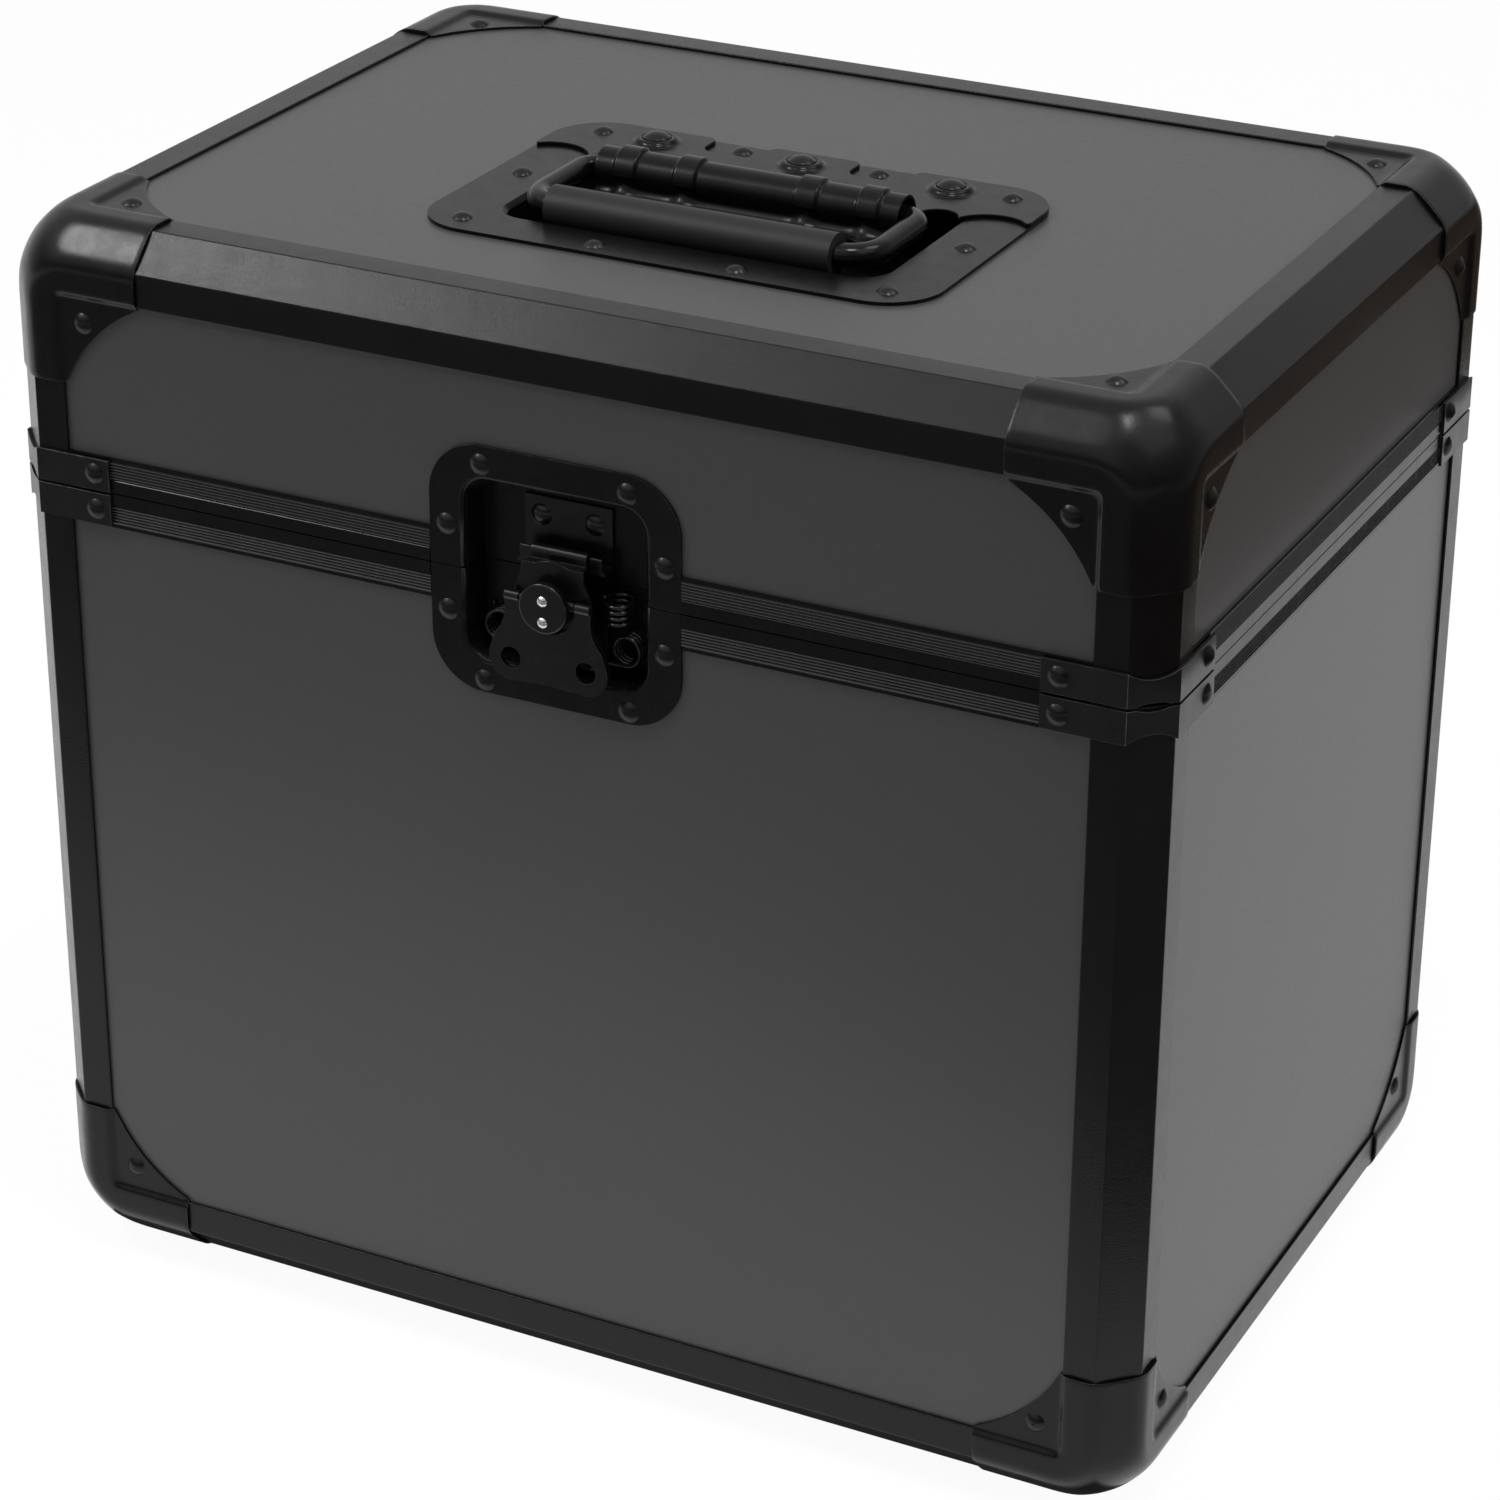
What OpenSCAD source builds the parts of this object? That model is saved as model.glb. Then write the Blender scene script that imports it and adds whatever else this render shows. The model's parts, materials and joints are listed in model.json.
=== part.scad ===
// Record carrying case: laminated panels in black chamfered edge trims, eight
// ball corners, a ribbed seam band, a recessed butterfly twist latch on the
// front and a recessed spring handle on the lid. The front faces -Y, the floor
// is z = 0 and the case is centred on the Z axis.

/* [Case] */
// Outer width over the edge trims
case_w = 394; // [380:1:430]
// Outer depth over the edge trims
case_d = 279; // [270:1:320]
// Height of the body, from its lower trims to the seam
body_h = 280; // [250:1:320]
// Height of the lid, from the seam to its upper trims
lid_h = 86; // [84:1:110]
// Thickness of the laminated panels
panel_t = 6; // [5.5:0.1:6.5]
// Height of the feet under the lower trims
foot_h = 6; // [5.5:0.5:10]

/* [Edge trims] */
// Width of the chamfer on each face, from the virtual edge
chamfer = 11; // [10:0.5:12]
// Width of the lip that lies on each panel
lip_w = 11; // [10:0.5:12]
// Thickness of that lip
lip_t = 1.2; // [1:0.1:1.4]

/* [Seam band] */
// Height of the ribbed band over and under the seam
band_h = 11.8; // [11:0.1:12.5]
// Spacing of the ribs
rib_pitch = 1; // [0.8:0.1:1.2]
// Number of ribs in each half of the band
rib_count = 6; // [4:1:7]
// Height of the tongue that keeps the lid in line
tongue_h = 3; // [2:0.5:3]

/* [Ball corners] */
// Reach of each leg along its edge
cap_leg = 51; // [48:1:54]
// Width of each leg on a face
cap_w = 23; // [23:0.5:25]
// Thickness of the pressed steel
cap_t = 1.2; // [1:0.1:1.4]
// Radius of the crease where it turns round a corner
cap_turn_r = 16; // [13:1:18]
// Radius of the ball in the middle of the corner
cap_ball_r = 20; // [18:1:22]

/* [Latch] */
// Width of the dish flange
dish_w = 86; // [84:1:90]
// Width of the dish opening
dish_hole_w = 62; // [61:1:64]
// Depth of the dish floor under the panel face
dish_depth = 9.6; // [9.4:0.1:10.5]
// Diameter of the knob
knob_d = 16.4; // [15:0.2:16.8]
// Lift of the hook plate over half a turn of the knob
hook_lift = 4; // [3:0.5:4]

/* [Handle] */
// Sideways place of the handle on the lid
handle_x = 5; // [-10:1:10]
// Place of the handle dish, front to back
handle_y = -27; // [-35:1:-20]
// Width of the dish flange
handle_w = 175; // [170:1:180]
// Depth of the dish flange, front to back
handle_d = 113; // [112:1:118]
// Depth of the dish floor under the panel face
handle_depth = 13; // [12:0.5:15]
// Diameter of the bail rod
rod_d = 8; // [7:0.5:8]
// Diameter of the rubber grip
grip_d = 14; // [13:0.5:16]
// Length of the rubber grip
grip_l = 98; // [90:1:100]

/* [Lining] */
// Thickness of the side pads that centre the sleeves
side_pad_t = 22; // [10:1:26]
// Thickness of the thin lining on the other walls
lining_t = 6; // [4:1:8]
// Thickness of the pads in the base and under the lid
floor_pad_t = 10; // [8:1:14]

/* [Hidden] */
$fn = 48;

case_h = body_h + lid_h;
seam_z = foot_h + body_h;
top_z = foot_h + case_h;
fit = 0.2;              // gap on each side of the seam
run = 0.05;             // running clearance of pins, on the radius
face_x = case_w / 2 - lip_t;
face_y = case_d / 2 - lip_t;
panel_in = chamfer + 1;      // where a panel starts, from the virtual edge
trim_end = chamfer + cap_turn_r + 0.5;
edge = chamfer + lip_w;      // inner edge of the lips, from the virtual edge
skin = 1.2;                  // inner leg of the extrusions
web_t = 4.5;                 // web of the seam band over a panel's edge
dish_hole_h = 59;
dish_mid = 0.5;              // middle of the latch dish over the seam
dish_room = 2;               // room for the dish in the panels and the band
dish_t = 1;                  // sheet of the latch dish
corner_cut = 11;             // cut corner of each panel, under the caps
bracket_leg = 37.5;          // leg of a seam bracket, from the virtual edge
bracket_t = 1.1;
bracket_low = 0.5;           // edges of the bracket over and under the seam
bracket_high = 11.1;
plate_t = 1.2;               // sheet of the handle dish and its cover
panel_grey = [0.27, 0.27, 0.28];
satin_black = [0.07, 0.07, 0.075];
foam_black = [0.12, 0.12, 0.125];
rubber_black = [0.1, 0.1, 0.1];
bright_steel = [0.8, 0.8, 0.78];
half_w = case_w / 2;
half_d = case_d / 2;

// ---- frames -------------------------------------------------------------

// Local frame on the front: x right, y up from the seam, z out of the panel
module on_front() translate([0, -face_y, seam_z]) rotate([90, 0, 0]) children();

// Local frame on the lid's top: z up from the panel, centred on the handle
module on_handle() translate([handle_x, handle_y, top_z - lip_t]) children();

// A rod of radius r lying sideways, from -x to x
module across(y, z, x, r) translate([-x, y, z]) rotate([0, 90, 0]) cylinder(r = r, h = 2 * x);

// Local octant at a corner of the virtual box, the case towards +x, +y, +z
module at_corner(side, depth, top)
    translate([side * half_w, depth * half_d, top ? top_z : foot_h])
        mirror([side > 0 ? 1 : 0, 0, 0]) mirror([0, depth > 0 ? 1 : 0, 0])
            mirror([0, 0, top ? 1 : 0]) children();

module at_uprights()
    for (side = [-1, 1], depth = [-1, 1])
        translate([side * half_w, depth * half_d, 0])
            mirror([side > 0 ? 1 : 0, 0, 0]) mirror([0, depth > 0 ? 1 : 0, 0]) children();

// ---- edge trims ---------------------------------------------------------

// Section of the edge extrusion, the virtual edge at the origin
module trim_section() {
    in_near = lip_t + panel_t;
    in_far = in_near + skin;
    polygon([[edge, 0], [chamfer, 0], [0, chamfer], [0, edge], [lip_t, edge],
        [lip_t, panel_in], [in_near, panel_in], [in_near, edge], [in_far, edge],
        [in_far, in_far], [edge, in_far], [edge, in_near], [panel_in, in_near],
        [panel_in, lip_t], [edge, lip_t]]);
}

module level_trims(top) {
    color(satin_black) for (side = [-1, 1]) {
        translate([-(half_w - trim_end), side * half_d, top ? top_z : foot_h])
            mirror([0, side > 0 ? 1 : 0, 0]) mirror([0, 0, top ? 1 : 0])
                rotate([90, 0, 90]) linear_extrude(case_w - 2 * trim_end) trim_section();
        translate([side * half_w, half_d - trim_end, top ? top_z : foot_h])
            mirror([side > 0 ? 1 : 0, 0, 0]) mirror([0, 0, top ? 1 : 0])
                rotate([90, 0, 0]) linear_extrude(case_d - 2 * trim_end) trim_section();
    }
}

module body_uprights() color(satin_black) at_uprights() translate([0, 0, foot_h + trim_end])
    linear_extrude(body_h - trim_end - fit) trim_section();

module lid_uprights() color(satin_black) at_uprights() translate([0, 0, seam_z + fit])
    linear_extrude(lid_h - trim_end - fit) trim_section();

module base_edge_trims() level_trims(false);

module top_edge_trims() level_trims(true);

// ---- panels -------------------------------------------------------------

// A panel lying flat, size w by h from the origin, with some corners cut
module cut_sheet(w, h, cut_top) {
    c = corner_cut;
    t = cut_top ? c : 0;
    linear_extrude(panel_t)
        polygon([[c, 0], [w - c, 0], [w, c], [w, h - t], [w - t, h], [t, h], [0, h - t], [0, c]]);
}

// An upright panel of the body, whose outer face is the local z = panel_t
module body_sheet(w) cut_sheet(w - 2 * panel_in, body_h - panel_in - web_t, false);

module lid_sheet(w) cut_sheet(w - 2 * panel_in, lid_h - panel_in - web_t, false);

module front_place(w, z) translate([-(w / 2 - panel_in), -face_y + panel_t, z])
    rotate([90, 0, 0]) children();

module side_place(side, z)
    translate([side * (face_x - panel_t), side * -(half_d - panel_in), z])
        rotate([90, 0, side * 90]) children();

// Opening for the dish, with that much room all round it
module latch_window(room) on_front() translate([0, dish_mid, -panel_t])
    cube([dish_hole_w + 2 * room, dish_hole_h + 2 * room, 60], center = true);

module body_front_panel() color(panel_grey) difference() {
    front_place(case_w, foot_h + panel_in) body_sheet(case_w);
    latch_window(dish_room);
    body_rivet_sites() rivet_bore();
}

module body_back_panel() color(panel_grey) difference() {
    rotate([0, 0, 180]) front_place(case_w, foot_h + panel_in) body_sheet(case_w);
    body_rivet_sites() rivet_bore();
}

module body_side(side) color(panel_grey) difference() {
    side_place(side, foot_h + panel_in) body_sheet(case_d);
    body_rivet_sites() rivet_bore();
}

module body_left_panel() body_side(-1);

module body_right_panel() body_side(1);

module flat_panel(z) translate([-(half_w - panel_in), -(half_d - panel_in), z])
    cut_sheet(case_w - 2 * panel_in, case_d - 2 * panel_in, true);

module base_panel() color(panel_grey) difference() {
    flat_panel(foot_h + lip_t);
    body_rivet_sites() rivet_bore();
    at_feet() cylinder(r = 1.9, h = foot_h + lip_t + 5);
}

module lid_place(z) translate([0, 0, z]) mirror([0, 0, 1]) children();

module lid_top_panel() color(panel_grey) difference() {
    flat_panel(top_z - lip_t - panel_t);
    on_handle() translate([0, 0, -20]) linear_extrude(40) handle_outline(2);
    lid_rivet_sites() rivet_bore();
    on_handle() big_rivet_sites() translate([0, 0, -20]) cylinder(r = 2.5, h = 40);
}

module lid_front_panel() color(panel_grey) difference() {
    lid_place(top_z - panel_in) front_place(case_w, 0) lid_sheet(case_w);
    latch_window(dish_room);
    lid_rivet_sites() rivet_bore();
}

module lid_back_panel() color(panel_grey) difference() {
    rotate([0, 0, 180]) lid_place(top_z - panel_in) front_place(case_w, 0) lid_sheet(case_w);
    lid_rivet_sites() rivet_bore();
}

module lid_side(side) color(panel_grey) difference() {
    lid_place(top_z - panel_in) side_place(side, 0) lid_sheet(case_d);
    lid_rivet_sites() rivet_bore();
}

module lid_left_panel() lid_side(-1);

module lid_right_panel() lid_side(1);

// ---- seam band ----------------------------------------------------------

// Section of a half band: x is depth in from the lip face, y is down from the seam
module band_section(tongue) {
    rib = 0.35;
    first = 4.6;
    in_near = lip_t + panel_t;
    ribs = [for (i = [0 : rib_count - 1], step = [0, 1])
        let (y = first + i * rib_pitch)
        step == 0 ? [rib, y] : [0, y + rib_pitch * 0.45]];
    difference() {
        polygon(concat([[in_near + skin, fit], [0, fit], [0, first - 0.3]], ribs,
            [[rib, first + rib_count * rib_pitch], [rib, band_h], [lip_t, band_h],
            [lip_t, web_t], [in_near, web_t], [in_near, band_h], [in_near + skin, band_h]]));
        if (!tongue) translate([lip_t + 1.6, -1]) square([2.8, tongue_h + 1.5]);
    }
    if (tongue) translate([lip_t + 2, -tongue_h + fit]) square([2, tongue_h + 0.5]);
}

module band_ring(tongue) {
    for (turn = [0, 180]) rotate([0, 0, turn]) {
        translate([-(half_w - edge), -half_d, 0]) rotate([90, 0, 90])
            mirror([0, 1, 0]) linear_extrude(case_w - 2 * edge)
                band_section(tongue && turn == 0);
        translate([-half_w, half_d - edge, 0]) rotate([90, 0, 0])
            mirror([0, 1, 0]) linear_extrude(case_d - 2 * edge) band_section(tongue);
    }
}

module band_gap_at_latch() on_front() {
    translate([-dish_w / 2 - fit, -20, 0]) cube([dish_w + 2 * fit, 40, 5]);
    translate([-dish_hole_w / 2 - dish_room, -20, -20]) cube([dish_hole_w + 2 * dish_room, 40, 22]);
}

module body_seam_band() color(satin_black) difference() {
    translate([0, 0, seam_z]) band_ring(true);
    band_gap_at_latch();
    body_rivet_sites() rivet_bore();
}

module lid_seam_band() color(satin_black) difference() {
    translate([0, 0, seam_z]) mirror([0, 0, 1]) band_ring(false);
    band_gap_at_latch();
    lid_rivet_sites() rivet_bore();
}

// Plan of a seam bracket: a strip bent round the chamfered upright
module bracket_plan() {
    t = bracket_t;
    c = chamfer;
    k = t * 0.414;
    polygon([[bracket_leg, 0], [c, 0], [0, c], [0, bracket_leg], [-t, bracket_leg],
        [-t, c - k], [c - k, -t], [bracket_leg, -t]]);
}

// One bracket over the seam at z = 0, waisted where it turns round the corner
module bracket() difference() {
    translate([0, 0, bracket_low]) linear_extrude(bracket_high - bracket_low) bracket_plan();
    waist_cut(bracket_high + 11.5, 14);
    waist_cut(-13, 14.5);
}

// Round cut across the corner, at that height
module waist_cut(z, r) rotate([0, 0, 45]) translate([-10, 0, z]) rotate([0, 90, 0])
    cylinder(r = r, h = 30);

module lid_brackets() color(satin_black) difference() {
    at_uprights() translate([0, 0, seam_z]) bracket();
    lid_rivet_sites() rivet_bore();
}

module body_brackets() color(satin_black) difference() {
    at_uprights() translate([0, 0, seam_z]) mirror([0, 0, 1]) bracket();
    body_rivet_sites() rivet_bore();
}

// ---- ball corners -------------------------------------------------------

// One flat of a corner: a square sheet whose near corner is rounded
module corner_flat(out, turn_r) linear_extrude(0.02) {
    start = chamfer - 0.414 * out;
    difference() {
        translate([start, start]) square(cap_leg + 1 - start);
        translate([start - 1, start - 1]) square(turn_r + 1);
    }
    translate([start + turn_r, start + turn_r]) circle(turn_r, $fn = 40);
}

// The rounded chamfered corner, out past the virtual box by that much
module corner_form(out) hull() {
    turn_r = cap_turn_r + out;
    translate([0, 0, -out]) corner_flat(out, turn_r);
    translate([-out, 0, 0]) rotate([90, 0, 90]) corner_flat(out, turn_r);
    translate([0, -out, 0]) mirror([0, 1, 0]) rotate([90, 0, 0]) corner_flat(out, turn_r);
    translate([1, 1, 1] * (cap_ball_r + 1)) sphere(cap_ball_r + out, $fn = 40);
}

// Outline of a web between two legs, cut back by a concave arc
module web_outline() {
    arc_at = 75;
    arc_r = norm([cap_leg - arc_at, cap_w - arc_at]);
    difference() {
        translate([edge - 1, edge - 1]) square(cap_leg - edge + 1);
        translate([arc_at, arc_at]) circle(arc_r, $fn = 96);
    }
}

module corner_web() translate([0, 0, lip_t - 1]) linear_extrude(1) web_outline();

module three_ways() {
    children();
    rotate([90, 0, 90]) children();
    mirror([0, 1, 0]) rotate([90, 0, 0]) children();
}

module corner_cap() difference() {
    union() {
        intersection() {
            corner_form(cap_t);
            union() {
                translate([-5, -5, -5]) cube([cap_leg + 5, cap_w + 5, cap_w + 5]);
                translate([-5, -5, -5]) cube([cap_w + 5, cap_leg + 5, cap_w + 5]);
                translate([-5, -5, -5]) cube([cap_w + 5, cap_w + 5, cap_leg + 5]);
            }
        }
        three_ways() corner_web();
    }
    intersection() {
        corner_form(0);
        union() {
            translate([1, 1, 1] * lip_t) cube(cap_leg + 20);
            translate([-1, -1, -1]) cube([cap_leg + 5, edge + 1, edge + 1]);
            translate([-1, -1, -1]) cube([edge + 1, cap_leg + 5, edge + 1]);
            translate([-1, -1, -1]) cube([edge + 1, edge + 1, cap_leg + 5]);
        }
    }
    corner_rivets() rivet_bore();
}

module cap_at(side, depth, top) color(satin_black) at_corner(side, depth, top) corner_cap();

module corner_base_front_left() cap_at(-1, -1, false);

module corner_base_front_right() cap_at(1, -1, false);

module corner_base_back_left() cap_at(-1, 1, false);

module corner_base_back_right() cap_at(1, 1, false);

module corner_top_front_left() cap_at(-1, -1, true);

module corner_top_front_right() cap_at(1, -1, true);

module corner_top_back_left() cap_at(-1, 1, true);

module corner_top_back_right() cap_at(1, 1, true);

// ---- rivets -------------------------------------------------------------

rivet_r = 1.6;               // shank
rivet_l = 5.5;
corner_rivet_at = 30.5;      // from the virtual corner, along both edges
bracket_rivet_at = 32;       // from the virtual edge
bracket_rivet_z = 6;         // from the seam
dish_rivets_over = [[25, 35], [37.3, 13.5]];        // of the right side; the left is its mirror
dish_rivets_under = [[25, -36.3], [37.3, -14.8]];

// A rivet on the local plane z = 0: a domed head and a shank into the panel
module rivet() {
    head_r = 3.5;
    head_h = 1.6;
    ball_r = (head_r * head_r + head_h * head_h) / (2 * head_h);
    intersection() {
        translate([0, 0, head_h - ball_r]) sphere(ball_r);
        cylinder(r = head_r + 1, h = head_h + 1);
    }
    translate([0, 0, -rivet_l]) cylinder(r = rivet_r, h = rivet_l + 0.1);
}

module rivet_bore() translate([0, 0, -rivet_l - 0.1]) cylinder(r = rivet_r + 0.1, h = 12);

// The three rivets of a ball corner, on the tops of its webs
module corner_rivets() {
    at = corner_rivet_at;
    top_of_web = lip_t - 1;
    translate([at, at, top_of_web]) mirror([0, 0, 1]) children();
    translate([at, top_of_web, at]) rotate([90, 0, 0]) children();
    translate([top_of_web, at, at]) rotate([0, -90, 0]) children();
}

module bracket_rivets(dir) at_uprights() translate([0, 0, seam_z + dir * bracket_rivet_z]) {
    translate([bracket_rivet_at, -bracket_t, 0]) rotate([90, 0, 0]) children();
    translate([-bracket_t, bracket_rivet_at, 0]) rotate([0, -90, 0]) children();
}

module dish_rivets(spots) on_front() for (side = [-1, 1], spot = spots)
    translate([side * spot[0], spot[1], dish_t]) children();

module hinge_rivets(dir) hinge_places() for (x = [-20, 0, 20])
    translate([x, -hinge_t, dir * hinge_hole]) rotate([90, 0, 0]) children();

module body_rivet_sites() {
    for (side = [-1, 1], depth = [-1, 1]) at_corner(side, depth, false)
        corner_rivets() children();
    bracket_rivets(-1) children();
    dish_rivets(dish_rivets_under) children();
    hinge_rivets(-1) children();
}

// Rivets of the handle's right half; the one at its far corner holds the cover too
handle_rivet_spots = [[73, -46, plate_t], [24.2, -50, plate_t], [77.6, 0, plate_t],
    [73, 46, 2 * plate_t], [24.4, 51, plate_t]];

module handle_rivet_sites() on_handle() for (side = [-1, 1], spot = handle_rivet_spots)
    translate([side * spot[0], spot[1], spot[2]]) children();

module lid_rivet_sites() {
    for (side = [-1, 1], depth = [-1, 1]) at_corner(side, depth, true)
        corner_rivets() children();
    bracket_rivets(1) children();
    dish_rivets(dish_rivets_over) children();
    hinge_rivets(1) children();
    handle_rivet_sites() children();
}

module body_rivets() color(satin_black) body_rivet_sites() rivet();

module lid_rivets() color(satin_black) lid_rivet_sites() rivet();

// ---- feet ---------------------------------------------------------------

foot_seat = foot_h - 3;      // where the screw's head meets the foot

module at_feet() for (side = [-1, 1], depth = [-1, 1])
    translate([side * (half_w - 62), depth * (half_d - 58), 0]) children();

module feet() color(rubber_black) at_feet() difference() {
    rotate_extrude() polygon([[0, 0], [13, 0], [14, 1], [15.5, foot_h + lip_t], [0, foot_h + lip_t]]);
    translate([0, 0, -1]) cylinder(r = 4.2, h = foot_seat + 1);
    translate([0, 0, -1]) cylinder(r = 1.9, h = foot_h + 9);
}

module foot_screws() color(satin_black) at_feet() {
    translate([0, 0, foot_seat - 2]) cylinder(r = 3.8, h = 2);
    translate([0, 0, foot_seat]) cylinder(r = 1.8, h = lip_t + 7.5);
}

// ---- foam ---------------------------------------------------------------

inner_x = face_x - panel_t - skin;
inner_y = face_y - panel_t - skin;
floor_z = foot_h + lip_t + panel_t + skin;
pad_top = seam_z - 1;

pad_cut = 6;                 // cut corners, clear of the ball corners

module pad(from, to) color(foam_black) translate(from) cube(to - from);

// A block as wide and deep as the inside, with its four corners cut
module full_block(z, h) translate([0, 0, z]) linear_extrude(h) polygon([
    [pad_cut - inner_x, -inner_y], [inner_x - pad_cut, -inner_y], [inner_x, pad_cut - inner_y],
    [inner_x, inner_y - pad_cut], [inner_x - pad_cut, inner_y], [pad_cut - inner_x, inner_y],
    [-inner_x, inner_y - pad_cut], [-inner_x, pad_cut - inner_y]]);

module body_foam_base() color(foam_black) full_block(floor_z, floor_pad_t);

module body_foam_left() pad([-inner_x, -inner_y, floor_z + floor_pad_t],
    [-inner_x + side_pad_t, inner_y, pad_top]);

module body_foam_right() pad([inner_x - side_pad_t, -inner_y, floor_z + floor_pad_t],
    [inner_x, inner_y, pad_top]);

module foam_wall(depth) pad(
    [-inner_x + side_pad_t, depth > 0 ? inner_y - lining_t : -inner_y, floor_z + floor_pad_t],
    [inner_x - side_pad_t, depth > 0 ? inner_y : -inner_y + lining_t, pad_top]);

module body_foam_front() color(foam_black) difference() {
    foam_wall(-1);
    latch_window(2 * dish_room);
}

module body_foam_back() foam_wall(1);

module lid_foam() color(foam_black) difference() {
    ceiling = top_z - lip_t - panel_t - skin;
    full_block(seam_z + 1, ceiling - seam_z - 1);
    translate([-inner_x + side_pad_t, -inner_y + lining_t, seam_z])
        cube([2 * (inner_x - side_pad_t), 2 * (inner_y - lining_t), ceiling - floor_pad_t - seam_z]);
    latch_window(2 * dish_room);
    on_handle() translate([-handle_w / 2, -handle_d / 2, -handle_depth - 2])
        cube([handle_w, handle_d, handle_depth]);
}

// ---- hinges -------------------------------------------------------------

hinge_t = 1.5;
hinge_w = 54;
hinge_hole = 21;
knuckle_r = 3;
hinge_out = knuckle_r + 0.4;     // axis of the pin, out from the lip face

// Local frame at each hinge, y = 0 on the back panel's face and -y outwards
module hinge_places() for (side = [-1, 1]) translate([side * case_w * 0.28, face_y, seam_z])
    rotate([0, 0, 180]) children();

// A leaf over the seam at z = 0: joggled over the band, with knuckles
module hinge_leaf(first) {
    s = lip_t;
    t = hinge_t;
    axis = s + hinge_out;
    spans = first ? [[-27, -14], [-1, 12]] : [[-14, -1], [12, 27]];
    difference() {
        union() {
            translate([-hinge_w / 2, 0, 0]) rotate([90, 0, 90]) linear_extrude(hinge_w)
                polygon([[0, 14], [0, 30], [-t, 30], [-t, 14.6], [-s - t, 12.6], [-s - t, 4],
                    [-s, 4], [-s, 12.4]]);
            for (span = spans) {
                translate([span[0] + 0.2, -axis, 0]) rotate([0, 90, 0])
                    cylinder(r = knuckle_r, h = span[1] - span[0] - 0.4);
                translate([span[0] + 0.2, -axis, fit])
                    cube([span[1] - span[0] - 0.4, axis - s, 4.5]);
            }
        }
        translate([-hinge_w, -axis, 0]) rotate([0, 90, 0]) cylinder(r = 1.5 + run, h = 2 * hinge_w);
    }
}

module hinge_lid_leaves() color(satin_black) difference() {
    hinge_places() hinge_leaf(true);
    lid_rivet_sites() rivet_bore();
}

module hinge_body_leaves() color(satin_black) difference() {
    hinge_places() mirror([0, 0, 1]) hinge_leaf(false);
    body_rivet_sites() rivet_bore();
}

module hinge_pins() color(satin_black) hinge_places()
    translate([-hinge_w / 2 - 0.8, -lip_t - hinge_out, 0]) rotate([0, 90, 0]) {
        cylinder(r = 1.5, h = hinge_w + 1.6);
        cylinder(r = 2.4, h = 0.8);
        translate([0, 0, hinge_w + 0.8]) cylinder(r = 2.4, h = 0.8);
    }

// ---- latch: dishes and keeper -------------------------------------------

// A rectangle with round corners, centred on the origin
module round_rect(w, h, r) {
    square([w - 2 * r, h], center = true);
    square([w, h - 2 * r], center = true);
    for (x = [-1, 1], y = [-1, 1]) translate([x * (w / 2 - r), y * (h / 2 - r)]) circle(r);
}

module slab(z, w, h, r) translate([0, 0, z]) linear_extrude(0.01) round_rect(w, h, r, $fn = 32);

dish_draft = 3;         // how much narrower the floor is than the opening
dish_wall = 1.2;
dish_h = 81.4;           // height of the flange

// The whole pressed dish over the front panel, before it is cut at the seam
module dish() translate([0, dish_mid, 0]) difference() {
    union() {
        linear_extrude(dish_t) round_rect(dish_w, dish_h, 18);
        hull() {
            slab(0, dish_hole_w + 2 * dish_wall, dish_hole_h + 2 * dish_wall, 9);
            slab(-dish_depth - dish_wall, dish_hole_w - dish_draft + 2 * dish_wall,
                dish_hole_h - dish_draft + 2 * dish_wall, 8);
        }
    }
    hull() {
        slab(-0.6, dish_hole_w, dish_hole_h, 8);
        slab(-dish_depth, dish_hole_w - dish_draft, dish_hole_h - dish_draft, 7);
    }
    hull() {
        slab(-0.61, dish_hole_w, dish_hole_h, 8);
        slab(1.05, dish_hole_w + 3, dish_hole_h + 3, 9.5);
    }
}

module latch_dish_lower() color(satin_black) difference() {
    on_front() intersection() {
        dish();
        translate([-60, -60 - fit, -20]) cube([120, 60, 40]);
    }
    body_rivet_sites() rivet_bore();
}

module latch_dish_upper() color(satin_black) difference() {
    on_front() intersection() {
        dish();
        translate([-60, fit, -20]) cube([120, 60, 40]);
    }
    lid_rivet_sites() rivet_bore();
}

keeper_lip_t = 1.1;
keeper_lip_z = -4.2;         // back of the keeper's lip
keeper_lip_top = 10;
keeper_t = 1.2;
keeper_low = 4.5;            // lower edge, where the keeper's web stands
keeper_half = 15;
keeper_lip_half = 14.1;
keeper_rivet = [9.2, 18.6];

module keeper_rivet_sites() for (side = [-1, 1])
    translate([side * keeper_rivet[0], keeper_rivet[1], -dish_depth + keeper_t]) children();

// J-shaped keeper riveted on the floor of the lid's half of the dish
module latch_keeper() color(satin_black) on_front() {
    difference() {
        translate([-keeper_half, keeper_low, -dish_depth]) cube([2 * keeper_half, 20, keeper_t]);
        keeper_rivet_sites() cylinder(r = 1.7, h = 20, center = true);
    }
    translate([-keeper_half, keeper_low, -dish_depth])
        cube([2 * keeper_half, keeper_t, dish_depth + keeper_lip_z + keeper_lip_t]);
    translate([-keeper_lip_half, keeper_low, keeper_lip_z])
        cube([2 * keeper_lip_half, keeper_lip_top - keeper_low - keeper_lip_t / 2, keeper_lip_t]);
    across(keeper_lip_top - keeper_lip_t / 2, keeper_lip_z + keeper_lip_t / 2,
        keeper_lip_half, keeper_lip_t / 2);
    keeper_rivet_sites() intersection() {
        translate([0, 0, -3.2]) sphere(r = 4.8);
        cylinder(r = 4, h = 3);
    }
}

// ---- latch: base and arm ------------------------------------------------

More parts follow.
